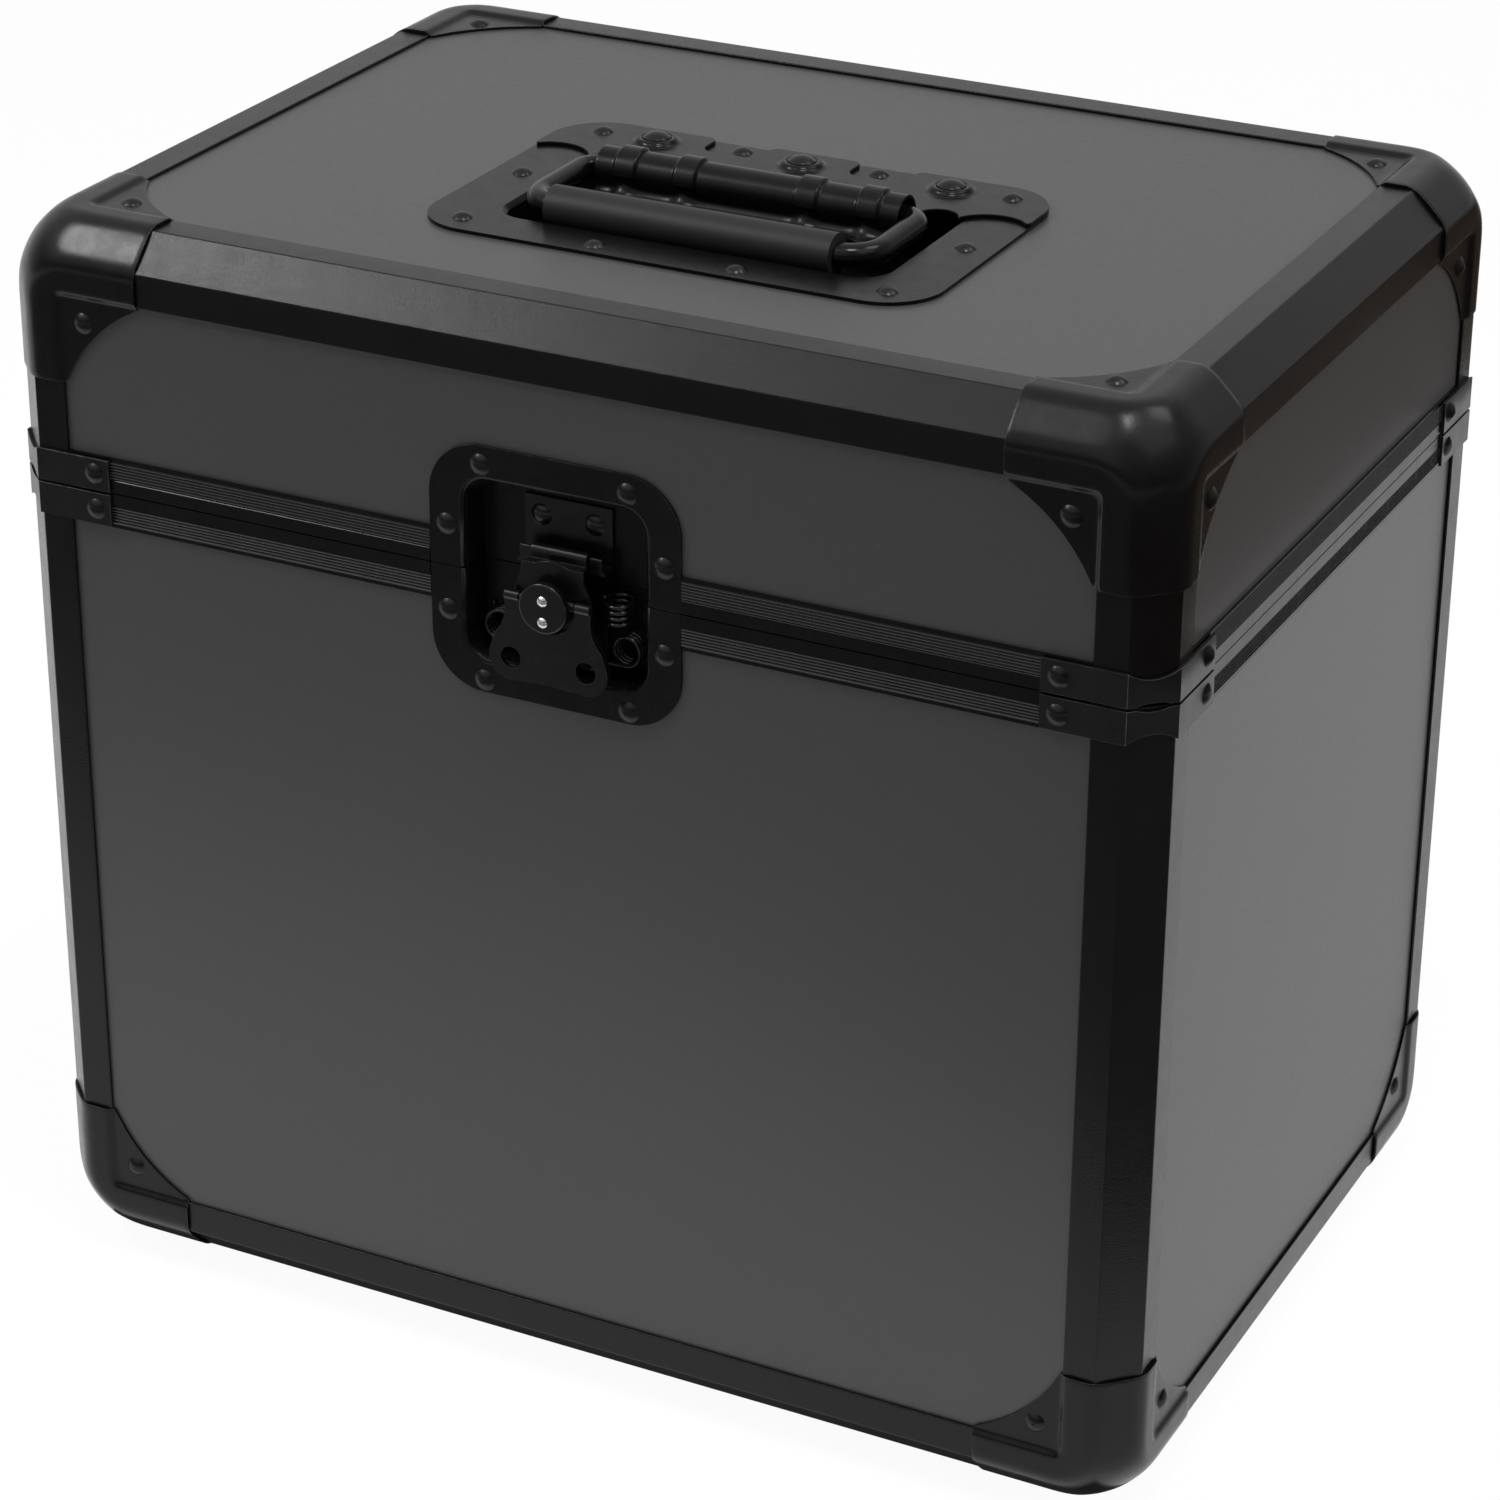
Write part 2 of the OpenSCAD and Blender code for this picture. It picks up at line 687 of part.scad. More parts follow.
pivot = [-26, -4];           // height over the seam and place out of the panel
pivot_r = 1.25;
eye_r = 2;                   // round ends of the cheeks, about the pivot
cheek_x = 10.8;              // cheeks of the base, outside the arm's
cheek_t = 1.6;
arm_x_out = 9.6;             // half width of the arm
arm_cheek_t = 1.4;
arm_t = 1.5;
knob_y = -4.3;
knob_z = 6.6;                // back of the knob's disc
pin_y = knob_y + 1;          // wing pin
pin_z = 5;
wing_pin_r = 1;
shaft_r = 3;
plate_z = 0.9;               // back of the hook plate
arm_front = 0.5;

module latch_base() color(satin_black) on_front() difference() {
    union() {
        translate([-13, -26.8, -dish_depth]) cube([26, 15, 1.2]);
        for (side = [-1, 1]) translate([side * cheek_x - cheek_t / 2, 0, 0]) {
            translate([0, pivot[0] - 0.8, -dish_depth]) cube([cheek_t, 6, dish_depth + pivot[1]]);
            translate([0, pivot[0], pivot[1]]) rotate([0, 90, 0]) cylinder(r = eye_r, h = cheek_t);
        }
    }
    across(pivot[0], pivot[1], 20, pivot_r);
}

module latch_pivot_pin() color(satin_black) on_front() {
    across(pivot[0], pivot[1], 12.2, pivot_r);
    for (side = [-1, 1]) translate([side * 11.9 - 0.3, pivot[0], pivot[1]])
        rotate([0, 90, 0]) cylinder(r = 1.9, h = 0.6);
}

module latch_arm() color(satin_black) on_front() difference() {
    union() {
        translate([-arm_x_out, -23.5, arm_front - arm_t]) cube([2 * arm_x_out, 27.5, arm_t]);
        for (side = [0, 1]) mirror([side, 0, 0]) translate([arm_x_out - arm_cheek_t, 0, 0]) {
            translate([0, pivot[0], -5.8]) cube([arm_cheek_t, 18, 5.8 + arm_front - 1]);
            translate([0, pivot[0], pivot[1]]) rotate([0, 90, 0])
                cylinder(r = eye_r, h = arm_cheek_t);
        }
    }
    across(pivot[0], pivot[1], 20, pivot_r + run);
    translate([0, knob_y, -10]) cylinder(r = shaft_r + run, h = 20);
    translate([-6, -26, -1.5]) cube([12, 6, 4]);
}

module long_hole(r, from, to, h) {
    translate([from[0], from[1], 0]) cylinder(r = r, h = h);
    translate([to[0], to[1], 0]) cylinder(r = r, h = h);
    if (from[0] == to[0]) translate([from[0] - r, min(from[1], to[1]), 0])
        cube([2 * r, abs(to[1] - from[1]), h]);
    else translate([min(from[0], to[0]), from[1] - r, 0])
        cube([abs(to[0] - from[0]), 2 * r, h]);
}

cam_r = 5.2;                 // over cam_off + shaft_r, so that the cam holds the shaft
cam_off = hook_lift / 2;
hook_ring = [9.3, -3.4];     // middle of the hook's curl
hook_in_r = 0.9;
hook_t = 1;
hook_half = 9.6;             // half width of the hook
hook_step = 5.9;             // where the plate steps back to it
plate_seat = 1.4;            // sheet of the plate round the knob

// Hook plate: a domed seat round the knob, a step back and a curled hook
module latch_hook_plate() color(satin_black) on_front() {
    difference() {
        union() {
            translate([-10.7, -16.5, plate_z]) cube([21.4, 23.8, plate_seat]);
            translate([0, knob_y, plate_z]) rotate_extrude()
                polygon([[0, 0], [13, 0], [13, plate_seat], [12.4, plate_seat], [9.8, 2.2], [0, 2.2]]);
        }
        translate([0, knob_y - cam_off, plate_z - 0.1])
            long_hole(cam_r + 0.7, [-cam_off, 0], [cam_off, 0], 1.4);
        translate([0, knob_y, plate_z]) long_hole(shaft_r + 0.35, [0, -hook_lift], [0, 0], 4);
    }
    translate([-hook_half, hook_step, hook_ring[1] + hook_in_r])
        cube([2 * hook_half, plate_seat, plate_z + 1 - hook_ring[1] - hook_in_r]);
    translate([-hook_half, hook_step, hook_ring[1] + hook_in_r])
        cube([2 * hook_half, hook_ring[0] - hook_step, hook_t]);
    translate([-hook_half, hook_ring[0] - 0.7, hook_ring[1] - hook_in_r - hook_t])
        cube([2 * hook_half, 0.7, hook_t]);
    difference() {
        across(hook_ring[0], hook_ring[1], hook_half, hook_in_r + hook_t);
        across(hook_ring[0], hook_ring[1], 12, hook_in_r);
        translate([-12, hook_ring[0] - 5, hook_ring[1] - 5]) cube([24, 5, 10]);
    }
}

knob_t = 2.3;
knob_round = 0.8;

// Half section of the knob's disc, its front rim rounded
module knob_section() polygon(concat([[0, 0], [knob_d / 2, 0]],
    [for (a = [0 : 15 : 90]) [knob_d / 2 - knob_round + knob_round * cos(a),
        knob_t - knob_round + knob_round * sin(a)]], [[0, knob_t]]));

// Knob: shaft, eccentric cam, hub, yoke for the wing pin and disc, in one piece
module latch_knob() color(satin_black) on_front() translate([0, knob_y, 0]) difference() {
    union() {
        translate([0, 0, arm_front - 2.9]) cylinder(r = 4.5, h = 0.9);
        translate([0, 0, arm_front - 2.5]) cylinder(r = shaft_r, h = 8);
        translate([0, -cam_off, plate_z + 0.05]) cylinder(r = cam_r, h = 1);
        translate([0, 0, plate_z + 2.5]) cylinder(r = 5.5, h = knob_z - plate_z - 2.5);
        across(1, pin_z, 9.1, 1.5);
        translate([0, 0, knob_z]) rotate_extrude() knob_section();
    }
    across(1, pin_z, 20, wing_pin_r + 0.02);
}

module latch_knob_rivets() color(bright_steel) on_front()
    for (y = [2.5, -4.5]) translate([0, knob_y + y, knob_z + knob_t]) intersection() {
        translate([0, 0, -1.2]) sphere(r = 2.1);
        cylinder(r = 3, h = 2);
    }

module latch_wing_pin() color(satin_black) on_front() across(pin_y, pin_z, 14.8, wing_pin_r);

// Outline of the butterfly wing about the knob's axis
lobe = [12.9, -19.7];       // middle of each wing lobe, from the knob
lobe_r = 7.5;
wing_ear = 12.1;            // middle of each ear on the wing pin

module wing_outline() difference() {
    union() {
        for (side = [-1, 1]) hull() {
            translate([side * wing_ear, -1]) square([5, 2], center = true);
            translate([side * lobe[0], lobe[1]]) circle(lobe_r, $fn = 32);
        }
        translate([-lobe[0], -26.9]) square([2 * lobe[0], 22]);
    }
    circle(knob_d / 2 + 1.2);
    translate([0, -66.6]) circle(40.2, $fn = 96);
    for (side = [-1, 1]) translate([side * 28.6, -3]) circle(14);
}

// Wing with its sides turned back; the lower edge stays flat, to clear the flange when the arm tilts
module latch_wing() color(satin_black) on_front() translate([0, knob_y, 0]) difference() {
    union() {
        translate([0, 0, 4.3]) linear_extrude(1.4) wing_outline();
        translate([0, 0, 3.4]) linear_extrude(1) intersection() {
            difference() {
                wing_outline();
                offset(delta = -1.2) wing_outline();
            }
            for (side = [-1, 1]) translate([side * 18 - 4, -21]) square([8, 14]);
        }
        for (side = [-1, 1]) translate([side * wing_ear, 1, pin_z]) rotate([0, 90, 0])
            cylinder(r = 1.6, h = 4.8, center = true);
    }
    across(1, pin_z, 20, wing_pin_r + run);
    for (side = [-1, 1]) translate([side * lobe[0], lobe[1], 0]) cylinder(r = 3.5, h = 10);
}

// ---- wound springs ------------------------------------------------------

// A tube of six sides along a path; the path never runs along the coil's axis
module tube(path, r, axis) {
    sides = 6;
    last = len(path) - 1;
    rings = [for (i = [0 : last])
        let (t = path[min(i + 1, last)] - path[max(i - 1, 0)],
            n = cross(t, axis) / norm(cross(t, axis)),
            b = cross(n, t) / norm(t))
        for (k = [0 : sides - 1])
            path[i] + r * (cos(360 * k / sides) * n + sin(360 * k / sides) * b)];
    walls = [for (i = [0 : last - 1], k = [0 : sides - 1], half = [0, 1])
        let (a = i * sides + k, b = i * sides + (k + 1) % sides)
        half == 0 ? [a, b, a + sides] : [b, b + sides, a + sides]];
    ends = [for (k = [1 : sides - 2], end = [0, 1])
        end == 0 ? [0, k + 1, k] : last * sides * [1, 1, 1] + [0, k, k + 1]];
    polyhedron(rings, concat(walls, ends));
}

// Coil about +Z from the angle a0, with a straight leg at each end
function coil_path(r, pitch, turns, a0, leg0, leg1) =
    let (steps = 8, n = round(turns * steps), a1 = a0 + 360 * n / steps,
        start = [r * cos(a0), r * sin(a0), 0],
        finish = [r * cos(a1), r * sin(a1), pitch * n / steps])
    concat([start + leg0 * [sin(a0), -cos(a0), 0]],
        [for (i = [0 : n]) let (a = a0 + 360 * i / steps) [r * cos(a), r * sin(a), pitch * i / steps]],
        [finish + leg1 * [-sin(a1), cos(a1), 0]]);

// Least gap between turns, measured on points half a turn or more apart
function least_gap(path, d) = min([for (i = [0 : len(path) - 5], j = [i + 4 : len(path) - 1])
    norm(path[i] - path[j])]) - d;

ring_wire = 1.2;
ring_path = coil_path(4.6, 1.7, 3.25, 180, 5, 9);
lift_wire = 1.1;
lift_path = coil_path(4.1, 1.9, 4, 200, 3, 3);
handle_wire = 1.2;
handle_coil_path = coil_path(5.2, 1.8, 6, 180, 1.3, 1.3);
echo(ring_gap = least_gap(ring_path, ring_wire), lift_gap = least_gap(lift_path, lift_wire),
    handle_gap = least_gap(handle_coil_path, handle_wire));

module ring_coil() on_front() translate([22, -18.7, -8.8]) mirror([1, 0, 0])
    tube(ring_path, ring_wire / 2, [0, 0, 1]);

module latch_coil_right() color(satin_black) ring_coil();

module latch_coil_left() color(satin_black) mirror([1, 0, 0]) ring_coil();

module latch_lift_coil() color(satin_black) on_front() translate([19.6, -2, -4.4])
    rotate([90, 0, 0]) tube(lift_path, lift_wire / 2, [0, 0, 1]);

// ---- handle -------------------------------------------------------------

handle_hole = [131, 70];
handle_hole_mid = -3;
bail_y = 10;                 // pivot of the bail, from the middle of the dish
bail_z = 3.8;
grip_y = -31;
arm_x = 58.5;
pivot_end = 36;              // inner end of the rod in the barrel
barrel_r = 7.2;
barrel_half = 53;
far_edge = handle_d / 2;
flange_r = 19;               // round corners of the flange
cover_front = 16;            // front edge of the cover's plate
lug_w = 8.4;                 // width of each strap pressed round the barrel
lug_rise = 1.1;

module handle_outline(grow) translate([0, handle_hole_mid])
    round_rect(handle_hole[0] + 2 * grow, handle_hole[1] + 2 * grow, 9 + grow);

module handle_slab(z, grow) translate([0, 0, z]) linear_extrude(0.01) handle_outline(grow, $fn = 32);

module big_rivet_sites() for (x = [-52.5, 0, 52.5]) translate([x, 44.5, 0]) children();

// The four straps pressed out of the cover's barrel
module lug_sites() for (side = [-1, 1], x = [21.2, 42.4]) translate([side * x, 0, 0]) children();

module handle_dish() color(satin_black) difference() {
    on_handle() difference() {
        union() {
            linear_extrude(plate_t) round_rect(handle_w, handle_d, flange_r);
            hull() {
                handle_slab(0, plate_t);
                handle_slab(-handle_depth - plate_t, -1);
            }
        }
        hull() {
            handle_slab(-0.4, 0);
            handle_slab(-handle_depth, -2.2);
        }
        hull() {
            handle_slab(-0.41, 0);
            handle_slab(plate_t + 0.05, 1.5);
        }
        big_rivet_sites() translate([0, 0, -1]) cylinder(r = 2.5, h = 4);
    }
    lid_rivet_sites() rivet_bore();
}

// Plan of the cover: round ears over the far corners and a lobe at each big rivet
module cover_plan() difference() {
    intersection() {
        round_rect(handle_w, handle_d, flange_r);
        translate([-handle_w / 2, cover_front]) square([handle_w, far_edge]);
    }
    for (side = [-1, 1]) {
        translate([side * 26, far_edge]) round_rect(20, 26, 4);
        translate([side * 59, cover_front + 2]) square([13, 4], center = true);
        translate([side * 59, cover_front]) circle(r = 6.5);
        translate([side * 59, cover_front + 4]) circle(r = 6.5);
        translate([side * 77.6, cover_front]) circle(r = 13.5);
    }
}

module handle_cover() color(satin_black) difference() {
    on_handle() difference() {
        union() {
            translate([0, 0, plate_t]) linear_extrude(plate_t) cover_plan();
            big_rivet_sites() translate([0, 0, 2 * plate_t]) rotate_extrude()
                polygon([[0, 0], [7.5, 0], [6, 1.6], [0, 1.6]]);
            across(bail_y, bail_z, barrel_half, barrel_r);
            lug_sites() {
                across(bail_y, bail_z, lug_w / 2, barrel_r + lug_rise);
                translate([0, bail_y - barrel_r + 0.5, -2]) cylinder(r = 4, h = 3.4);
            }
            translate([-barrel_half, bail_y - barrel_r - 3.4, -3]) cube([2 * barrel_half, 4.6, plate_t]);
        }
        across(bail_y, bail_z, 60, barrel_r - 1);
        translate([-60, bail_y, -20]) cube([120, 30, 20 + plate_t]);
        translate([-60, bail_y - barrel_r + 1, -20]) cube([120, barrel_r, 20 + bail_z]);
        translate([-60, bail_y - 20, -23]) cube([120, 30, 20]);
        big_rivet_sites() translate([0, 0, -5]) cylinder(r = 2.5, h = 20);
    }
    lid_rivet_sites() rivet_bore();
}

module handle_rivets() color(satin_black) on_handle() big_rivet_sites() {
    translate([0, 0, 2 * plate_t + 1.6]) intersection() {
        translate([0, 0, -4.8]) sphere(r = 6.6);
        cylinder(r = 5, h = 3);
    }
    translate([0, 0, -5.5]) cylinder(r = 2.4, h = 9.6);
}

module handle_spring(side) color(satin_black) on_handle() mirror([side > 0 ? 1 : 0, 0, 0])
    translate([-50, bail_y, bail_z]) rotate([0, 90, 0]) tube(handle_coil_path, handle_wire / 2, [0, 0, 1]);

module handle_spring_left() handle_spring(-1);

module handle_spring_right() handle_spring(1);

module rod_bend(r, a) rotate([0, 0, a]) rotate_extrude(angle = 90) translate([r, 0]) circle(d = rod_d);

// Bail: one bent rod, its ends turned in along the barrel
module handle_bail() color(satin_black) on_handle() translate([0, 0, bail_z]) {
    in_r = 7;
    out_r = 11;
    translate([-(arm_x - out_r), grip_y, 0]) rotate([0, 90, 0])
        cylinder(d = rod_d, h = 2 * (arm_x - out_r));
    for (side = [0, 1]) mirror([side, 0, 0]) {
        translate([arm_x - out_r, grip_y + out_r, 0]) rod_bend(out_r, -90);
        translate([arm_x, grip_y + out_r, 0]) rotate([-90, 0, 0])
            cylinder(d = rod_d, h = bail_y - grip_y - out_r - in_r);
        translate([arm_x - in_r, bail_y - in_r, 0]) rod_bend(in_r, 0);
        translate([pivot_end, bail_y, 0]) rotate([0, 90, 0])
            cylinder(d = rod_d, h = arm_x - in_r - pivot_end);
    }
}

module handle_grip() color(rubber_black) on_handle() translate([0, grip_y, bail_z]) difference() {
    across(0, 0, grip_l / 2, grip_d / 2);
    across(0, 0, grip_l, rod_d / 2 + run);
}

// ---- nodes --------------------------------------------------------------

body_front_panel();
body_back_panel();
body_left_panel();
body_right_panel();
base_panel();
body_uprights();
base_edge_trims();
body_seam_band();
body_brackets();
corner_base_front_left();
corner_base_front_right();
corner_base_back_left();
corner_base_back_right();
body_rivets();
feet();
foot_screws();
body_foam_base();
body_foam_left();
body_foam_right();
body_foam_front();
body_foam_back();
hinge_body_leaves();
hinge_pins();
latch_dish_lower();
latch_base();
latch_pivot_pin();
latch_coil_left();
latch_coil_right();
latch_lift_coil();
latch_arm();
latch_hook_plate();
latch_knob();
latch_knob_rivets();
latch_wing_pin();
latch_wing();
lid_top_panel();
lid_front_panel();
lid_back_panel();
lid_left_panel();
lid_right_panel();
lid_uprights();
top_edge_trims();
lid_seam_band();
lid_brackets();
corner_top_front_left();
corner_top_front_right();
corner_top_back_left();
corner_top_back_right();
lid_rivets();
lid_foam();
hinge_lid_leaves();
latch_dish_upper();
latch_keeper();
handle_dish();
handle_cover();
handle_rivets();
handle_spring_left();
handle_spring_right();
handle_bail();
handle_grip();
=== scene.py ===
import json
import math

import bmesh
import bpy
import numpy as np
from mathutils import Matrix, Vector


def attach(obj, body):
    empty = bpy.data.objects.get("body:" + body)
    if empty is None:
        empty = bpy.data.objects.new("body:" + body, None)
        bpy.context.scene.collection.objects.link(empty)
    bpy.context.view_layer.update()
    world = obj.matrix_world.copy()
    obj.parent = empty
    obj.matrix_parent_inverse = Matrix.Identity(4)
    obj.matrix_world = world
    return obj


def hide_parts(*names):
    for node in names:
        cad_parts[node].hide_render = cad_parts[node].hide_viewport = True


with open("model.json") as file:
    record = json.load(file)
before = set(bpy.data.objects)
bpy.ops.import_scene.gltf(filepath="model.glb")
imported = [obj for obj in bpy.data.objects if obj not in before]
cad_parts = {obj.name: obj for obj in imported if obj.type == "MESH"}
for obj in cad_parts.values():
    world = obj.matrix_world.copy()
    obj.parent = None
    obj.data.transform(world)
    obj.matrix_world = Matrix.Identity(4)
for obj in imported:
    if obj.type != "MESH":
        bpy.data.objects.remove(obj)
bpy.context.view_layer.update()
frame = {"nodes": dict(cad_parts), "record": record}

scene = bpy.context.scene
nodes = frame["nodes"]
body_of_node = {n: b for b, ns in frame["record"]["behaviour"]["bodies"].items() for n in ns}
HALF_W, HALF_D = 0.197, 0.1395        # virtual box of the edge trims, in metres
BASE_Z, SEAM_Z, TOP_Z = 0.006, 0.286, 0.372


# ---- material helpers ------------------------------------------------------

def set_range(node, start, end, low, high):
    """Map Range limits: values from start to end become low to high."""
    limits = (("From Min", start), ("From Max", end), ("To Min", low), ("To Max", high))
    for key, number in limits:
        node.inputs[key].default_value = number


class Graph:
    """A material's node tree, with short calls for the nodes used here."""

    def __init__(self, name):
        self.mat = bpy.data.materials.new(name)
        self.mat.use_nodes = True
        self.tree = self.mat.node_tree
        self.tree.nodes.clear()
        self.out = self.add("ShaderNodeOutputMaterial")
        self.coord = self.add("ShaderNodeTexCoord").outputs["Object"]

    def add(self, kind, **props):
        node = self.tree.nodes.new(kind)
        for key, value in props.items():
            setattr(node, key, value)
        return node

    def link(self, a, b):
        self.tree.links.new(a, b)

    def scaled(self, stretch):
        """Object coordinates, stretched along X, Y and Z."""
        node = self.add("ShaderNodeMapping")
        node.inputs["Scale"].default_value = stretch
        self.link(self.coord, node.inputs["Vector"])
        return node.outputs["Vector"]

    def noise(self, scale, detail=3.0, rough=0.55, vector=None):
        node = self.add("ShaderNodeTexNoise")
        node.inputs["Scale"].default_value = scale
        node.inputs["Detail"].default_value = detail
        node.inputs["Roughness"].default_value = rough
        self.link(vector or self.coord, node.inputs["Vector"])
        return node.outputs["Fac"]

    def cells(self, scale, feature="F1", vector=None):
        node = self.add("ShaderNodeTexVoronoi", feature=feature)
        node.inputs["Scale"].default_value = scale
        self.link(vector or self.coord, node.inputs["Vector"])
        return node.outputs["Distance"]

    def ramp(self, value, stops):
        node = self.add("ShaderNodeValToRGB")
        marks = node.color_ramp.elements
        while len(marks) < len(stops):
            marks.new(0.5)
        for mark, (at, colour) in zip(marks, stops):
            mark.position = at
            grey = (colour,) * 3 if isinstance(colour, (int, float)) else colour
            mark.color = (*grey, 1)
        self.link(value, node.inputs["Fac"])
        return node.outputs["Color"]

    def spread(self, value, low, high, start=0.3, end=0.7):
        node = self.add("ShaderNodeMapRange")
        set_range(node, start, end, low, high)
        self.link(value, node.inputs["Value"])
        return node.outputs["Result"]

    def math(self, how, a, b=0):
        node = self.add("ShaderNodeMath", operation=how)
        for socket, value in zip(node.inputs, (a, b)):
            if isinstance(value, (int, float)):
                socket.default_value = value
            else:
                self.link(value, socket)
        return node.outputs[0]

    def mix(self, fac, a, b):
        node = self.add("ShaderNodeMix", data_type="RGBA")
        self.link(fac, node.inputs[0])
        self.link(a, node.inputs[6])
        if isinstance(b, tuple):
            node.inputs[7].default_value = (*b, 1)
        else:
            self.link(b, node.inputs[7])
        return node.outputs[2]

    def bump(self, height, strength, distance, under=None):
        node = self.add("ShaderNodeBump")
        node.inputs["Strength"].default_value = strength
        node.inputs["Distance"].default_value = distance
        self.link(height, node.inputs["Height"])
        if under is not None:
            self.link(under, node.inputs["Normal"])
        return node.outputs["Normal"]

    def shade(self, colour, rough, normal, **fixed):
        node = self.add("ShaderNodeBsdfPrincipled")
        self.link(colour, node.inputs["Base Color"])
        self.link(rough, node.inputs["Roughness"])
        self.link(normal, node.inputs["Normal"])
        for key, value in fixed.items():
            node.inputs[key.replace("_", " ")].default_value = value
        self.link(node.outputs[0], self.out.inputs["Surface"])
        return self.mat


# ---- materials -------------------------------------------------------------

def make_laminate():
    """Satin grey laminate: a fine grain, a few pale specks and faint scuffs."""
    g = Graph("laminate")
    cloud = g.noise(9, 4)
    grain = g.noise(2600, 2, 0.6)
    colour = g.mix(g.spread(grain, 0.0, 0.55),
                   g.ramp(cloud, [(0.3, (0.0592, 0.0579, 0.0614)), (0.7, (0.061, 0.0597, 0.0632))]),
                   (0.076, 0.0744, 0.078))
    specks = g.spread(g.cells(95), 1.0, 0.0, 0.016, 0.03)
    rare = g.spread(g.noise(21, 1), 0.0, 0.5, 0.6, 0.66)
    colour = g.mix(g.math("MULTIPLY", specks, rare), colour, (0.3, 0.29, 0.28))
    scuff = g.spread(g.noise(60, 5, 0.7, g.scaled((1, 1, 7))), 0.0, 0.3, 0.68, 0.8)
    colour = g.mix(scuff, colour, (0.12, 0.118, 0.12))
    rough = g.spread(g.noise(700, 5), 0.37, 0.43)
    normal = g.bump(grain, 0.1, 0.0002, g.bump(g.noise(500, 3), 0.05, 0.0004))
    return g.shade(colour, rough, normal, Specular_IOR_Level=0.5)


def rib_crest_highlight(g):
    """1 on the crests of the seam band's ribs, where a highlight is painted: six, 1 mm apart, from
    4.6 mm off the seam.
    """
    first, ribs, middle = 4.6, 6, 0.45
    split = g.add("ShaderNodeSeparateXYZ")
    g.link(g.coord, split.inputs[0])
    off = g.math("ABSOLUTE", g.math("SUBTRACT", split.outputs["Z"], SEAM_Z))
    along = g.math("SUBTRACT", g.math("MULTIPLY", off, 1000), first)
    crest = g.math("ABSOLUTE", g.math("SUBTRACT", g.math("FRACT", along), middle))
    inside = g.math("MULTIPLY", g.math("GREATER_THAN", along), g.math("LESS_THAN", along, ribs))
    return g.math("MULTIPLY", g.spread(crest, 1.0, 0.0, 0.08, 0.26), inside)


def make_black(name, base, low_rough, high_rough, peel, peel_size, specular=0.22, ribs=False):
    """A satin black coat: cloudy colour, an orange peel and fine scratches, and a painted highlight
    on the ribs' crests.
    """
    g = Graph(name)
    lighter = tuple(c * 1.6 for c in base)
    colour = g.ramp(g.noise(40, 5), [(0.3, base), (0.75, lighter)])
    scratch = g.spread(g.noise(220, 4, 0.7, g.scaled((0.25, 3, 3))), 0.0, 0.22, 0.68, 0.78)
    colour = g.mix(scratch, colour, (0.03, 0.03, 0.032))
    # painted highlight: a lighter grey along every rib's crest
    if ribs:
        colour = g.mix(rib_crest_highlight(g), colour, (0.06, 0.0593, 0.0606))
    rough = g.spread(g.noise(140, 5), low_rough, high_rough)
    coarse = g.bump(g.noise(peel_size, 3, 0.6), peel, 0.15 * (1 + peel) / peel_size)
    pores = g.cells(peel_size * 2.4, "SMOOTH_F1")
    normal = g.bump(pores, peel * 0.6, 0.1 / peel_size, coarse)
    return g.shade(colour, rough, normal, Specular_IOR_Level=specular)


def make_worn_highlit_edge():
    """Black coat worn thin on a sheet's edge, where the metal starts to show, and lighter than wear
    alone: a painted highlight along the edge.
    """
    g = Graph("worn_highlit_edge")
    wear = g.noise(160, 5, 0.7)
    colour = g.ramp(wear, [(0.35, (0.035, 0.035, 0.036)), (0.7, (0.24, 0.237, 0.232))])
    normal = g.bump(g.noise(1500, 3), 0.1, 0.0001)
    return g.shade(colour, g.spread(wear, 0.3, 0.45), normal, Metallic=0.35, Specular_IOR_Level=0.4)


def make_bright():
    """Bright zinc with small marks, on the two rivets of the latch's knob."""
    g = Graph("bright_zinc")
    marks = g.noise(1800, 4, 0.6)
    colour = g.ramp(marks, [(0.3, (0.62, 0.61, 0.58)), (0.7, (0.85, 0.84, 0.81))])
    normal = g.bump(marks, 0.12, 0.0001)
    return g.shade(colour, g.spread(marks, 0.14, 0.3), normal, Metallic=1.0)


def make_rubber(name, base, rough):
    """Matt black rubber with a fine grain."""
    g = Graph(name)
    grain = g.noise(3200, 3, 0.6)
    colour = g.ramp(g.noise(120, 4), [(0.3, base), (0.7, tuple(c * 1.35 for c in base))])
    normal = g.bump(grain, 0.22, 0.0002)
    uneven = g.spread(grain, rough - 0.08, rough + 0.08)
    return g.shade(colour, uneven, normal, Specular_IOR_Level=0.35)


def make_foam():
    """Closed-cell foam, cells of about 1 mm, each darker towards its pit as painted shade."""
    g = Graph("foam_cells")
    cell = g.cells(900)
    # painted shade: each cell darker towards its pit
    colour = g.mix(g.spread(g.noise(45, 4), 0.0, 1.0),
                   g.ramp(cell, [(0.1, (0.006, 0.006, 0.0065)), (0.6, (0.026, 0.026, 0.028))]),
                   (0.03, 0.03, 0.032))
    normal = g.bump(cell, 0.55, 0.0006)
    return g.shade(colour, g.spread(g.noise(400), 0.85, 0.97), normal, Specular_IOR_Level=0.2)


laminate = make_laminate()
DEEP_BLACK, BLACK = (0.0032, 0.0032, 0.0036), (0.0034, 0.0034, 0.0038)
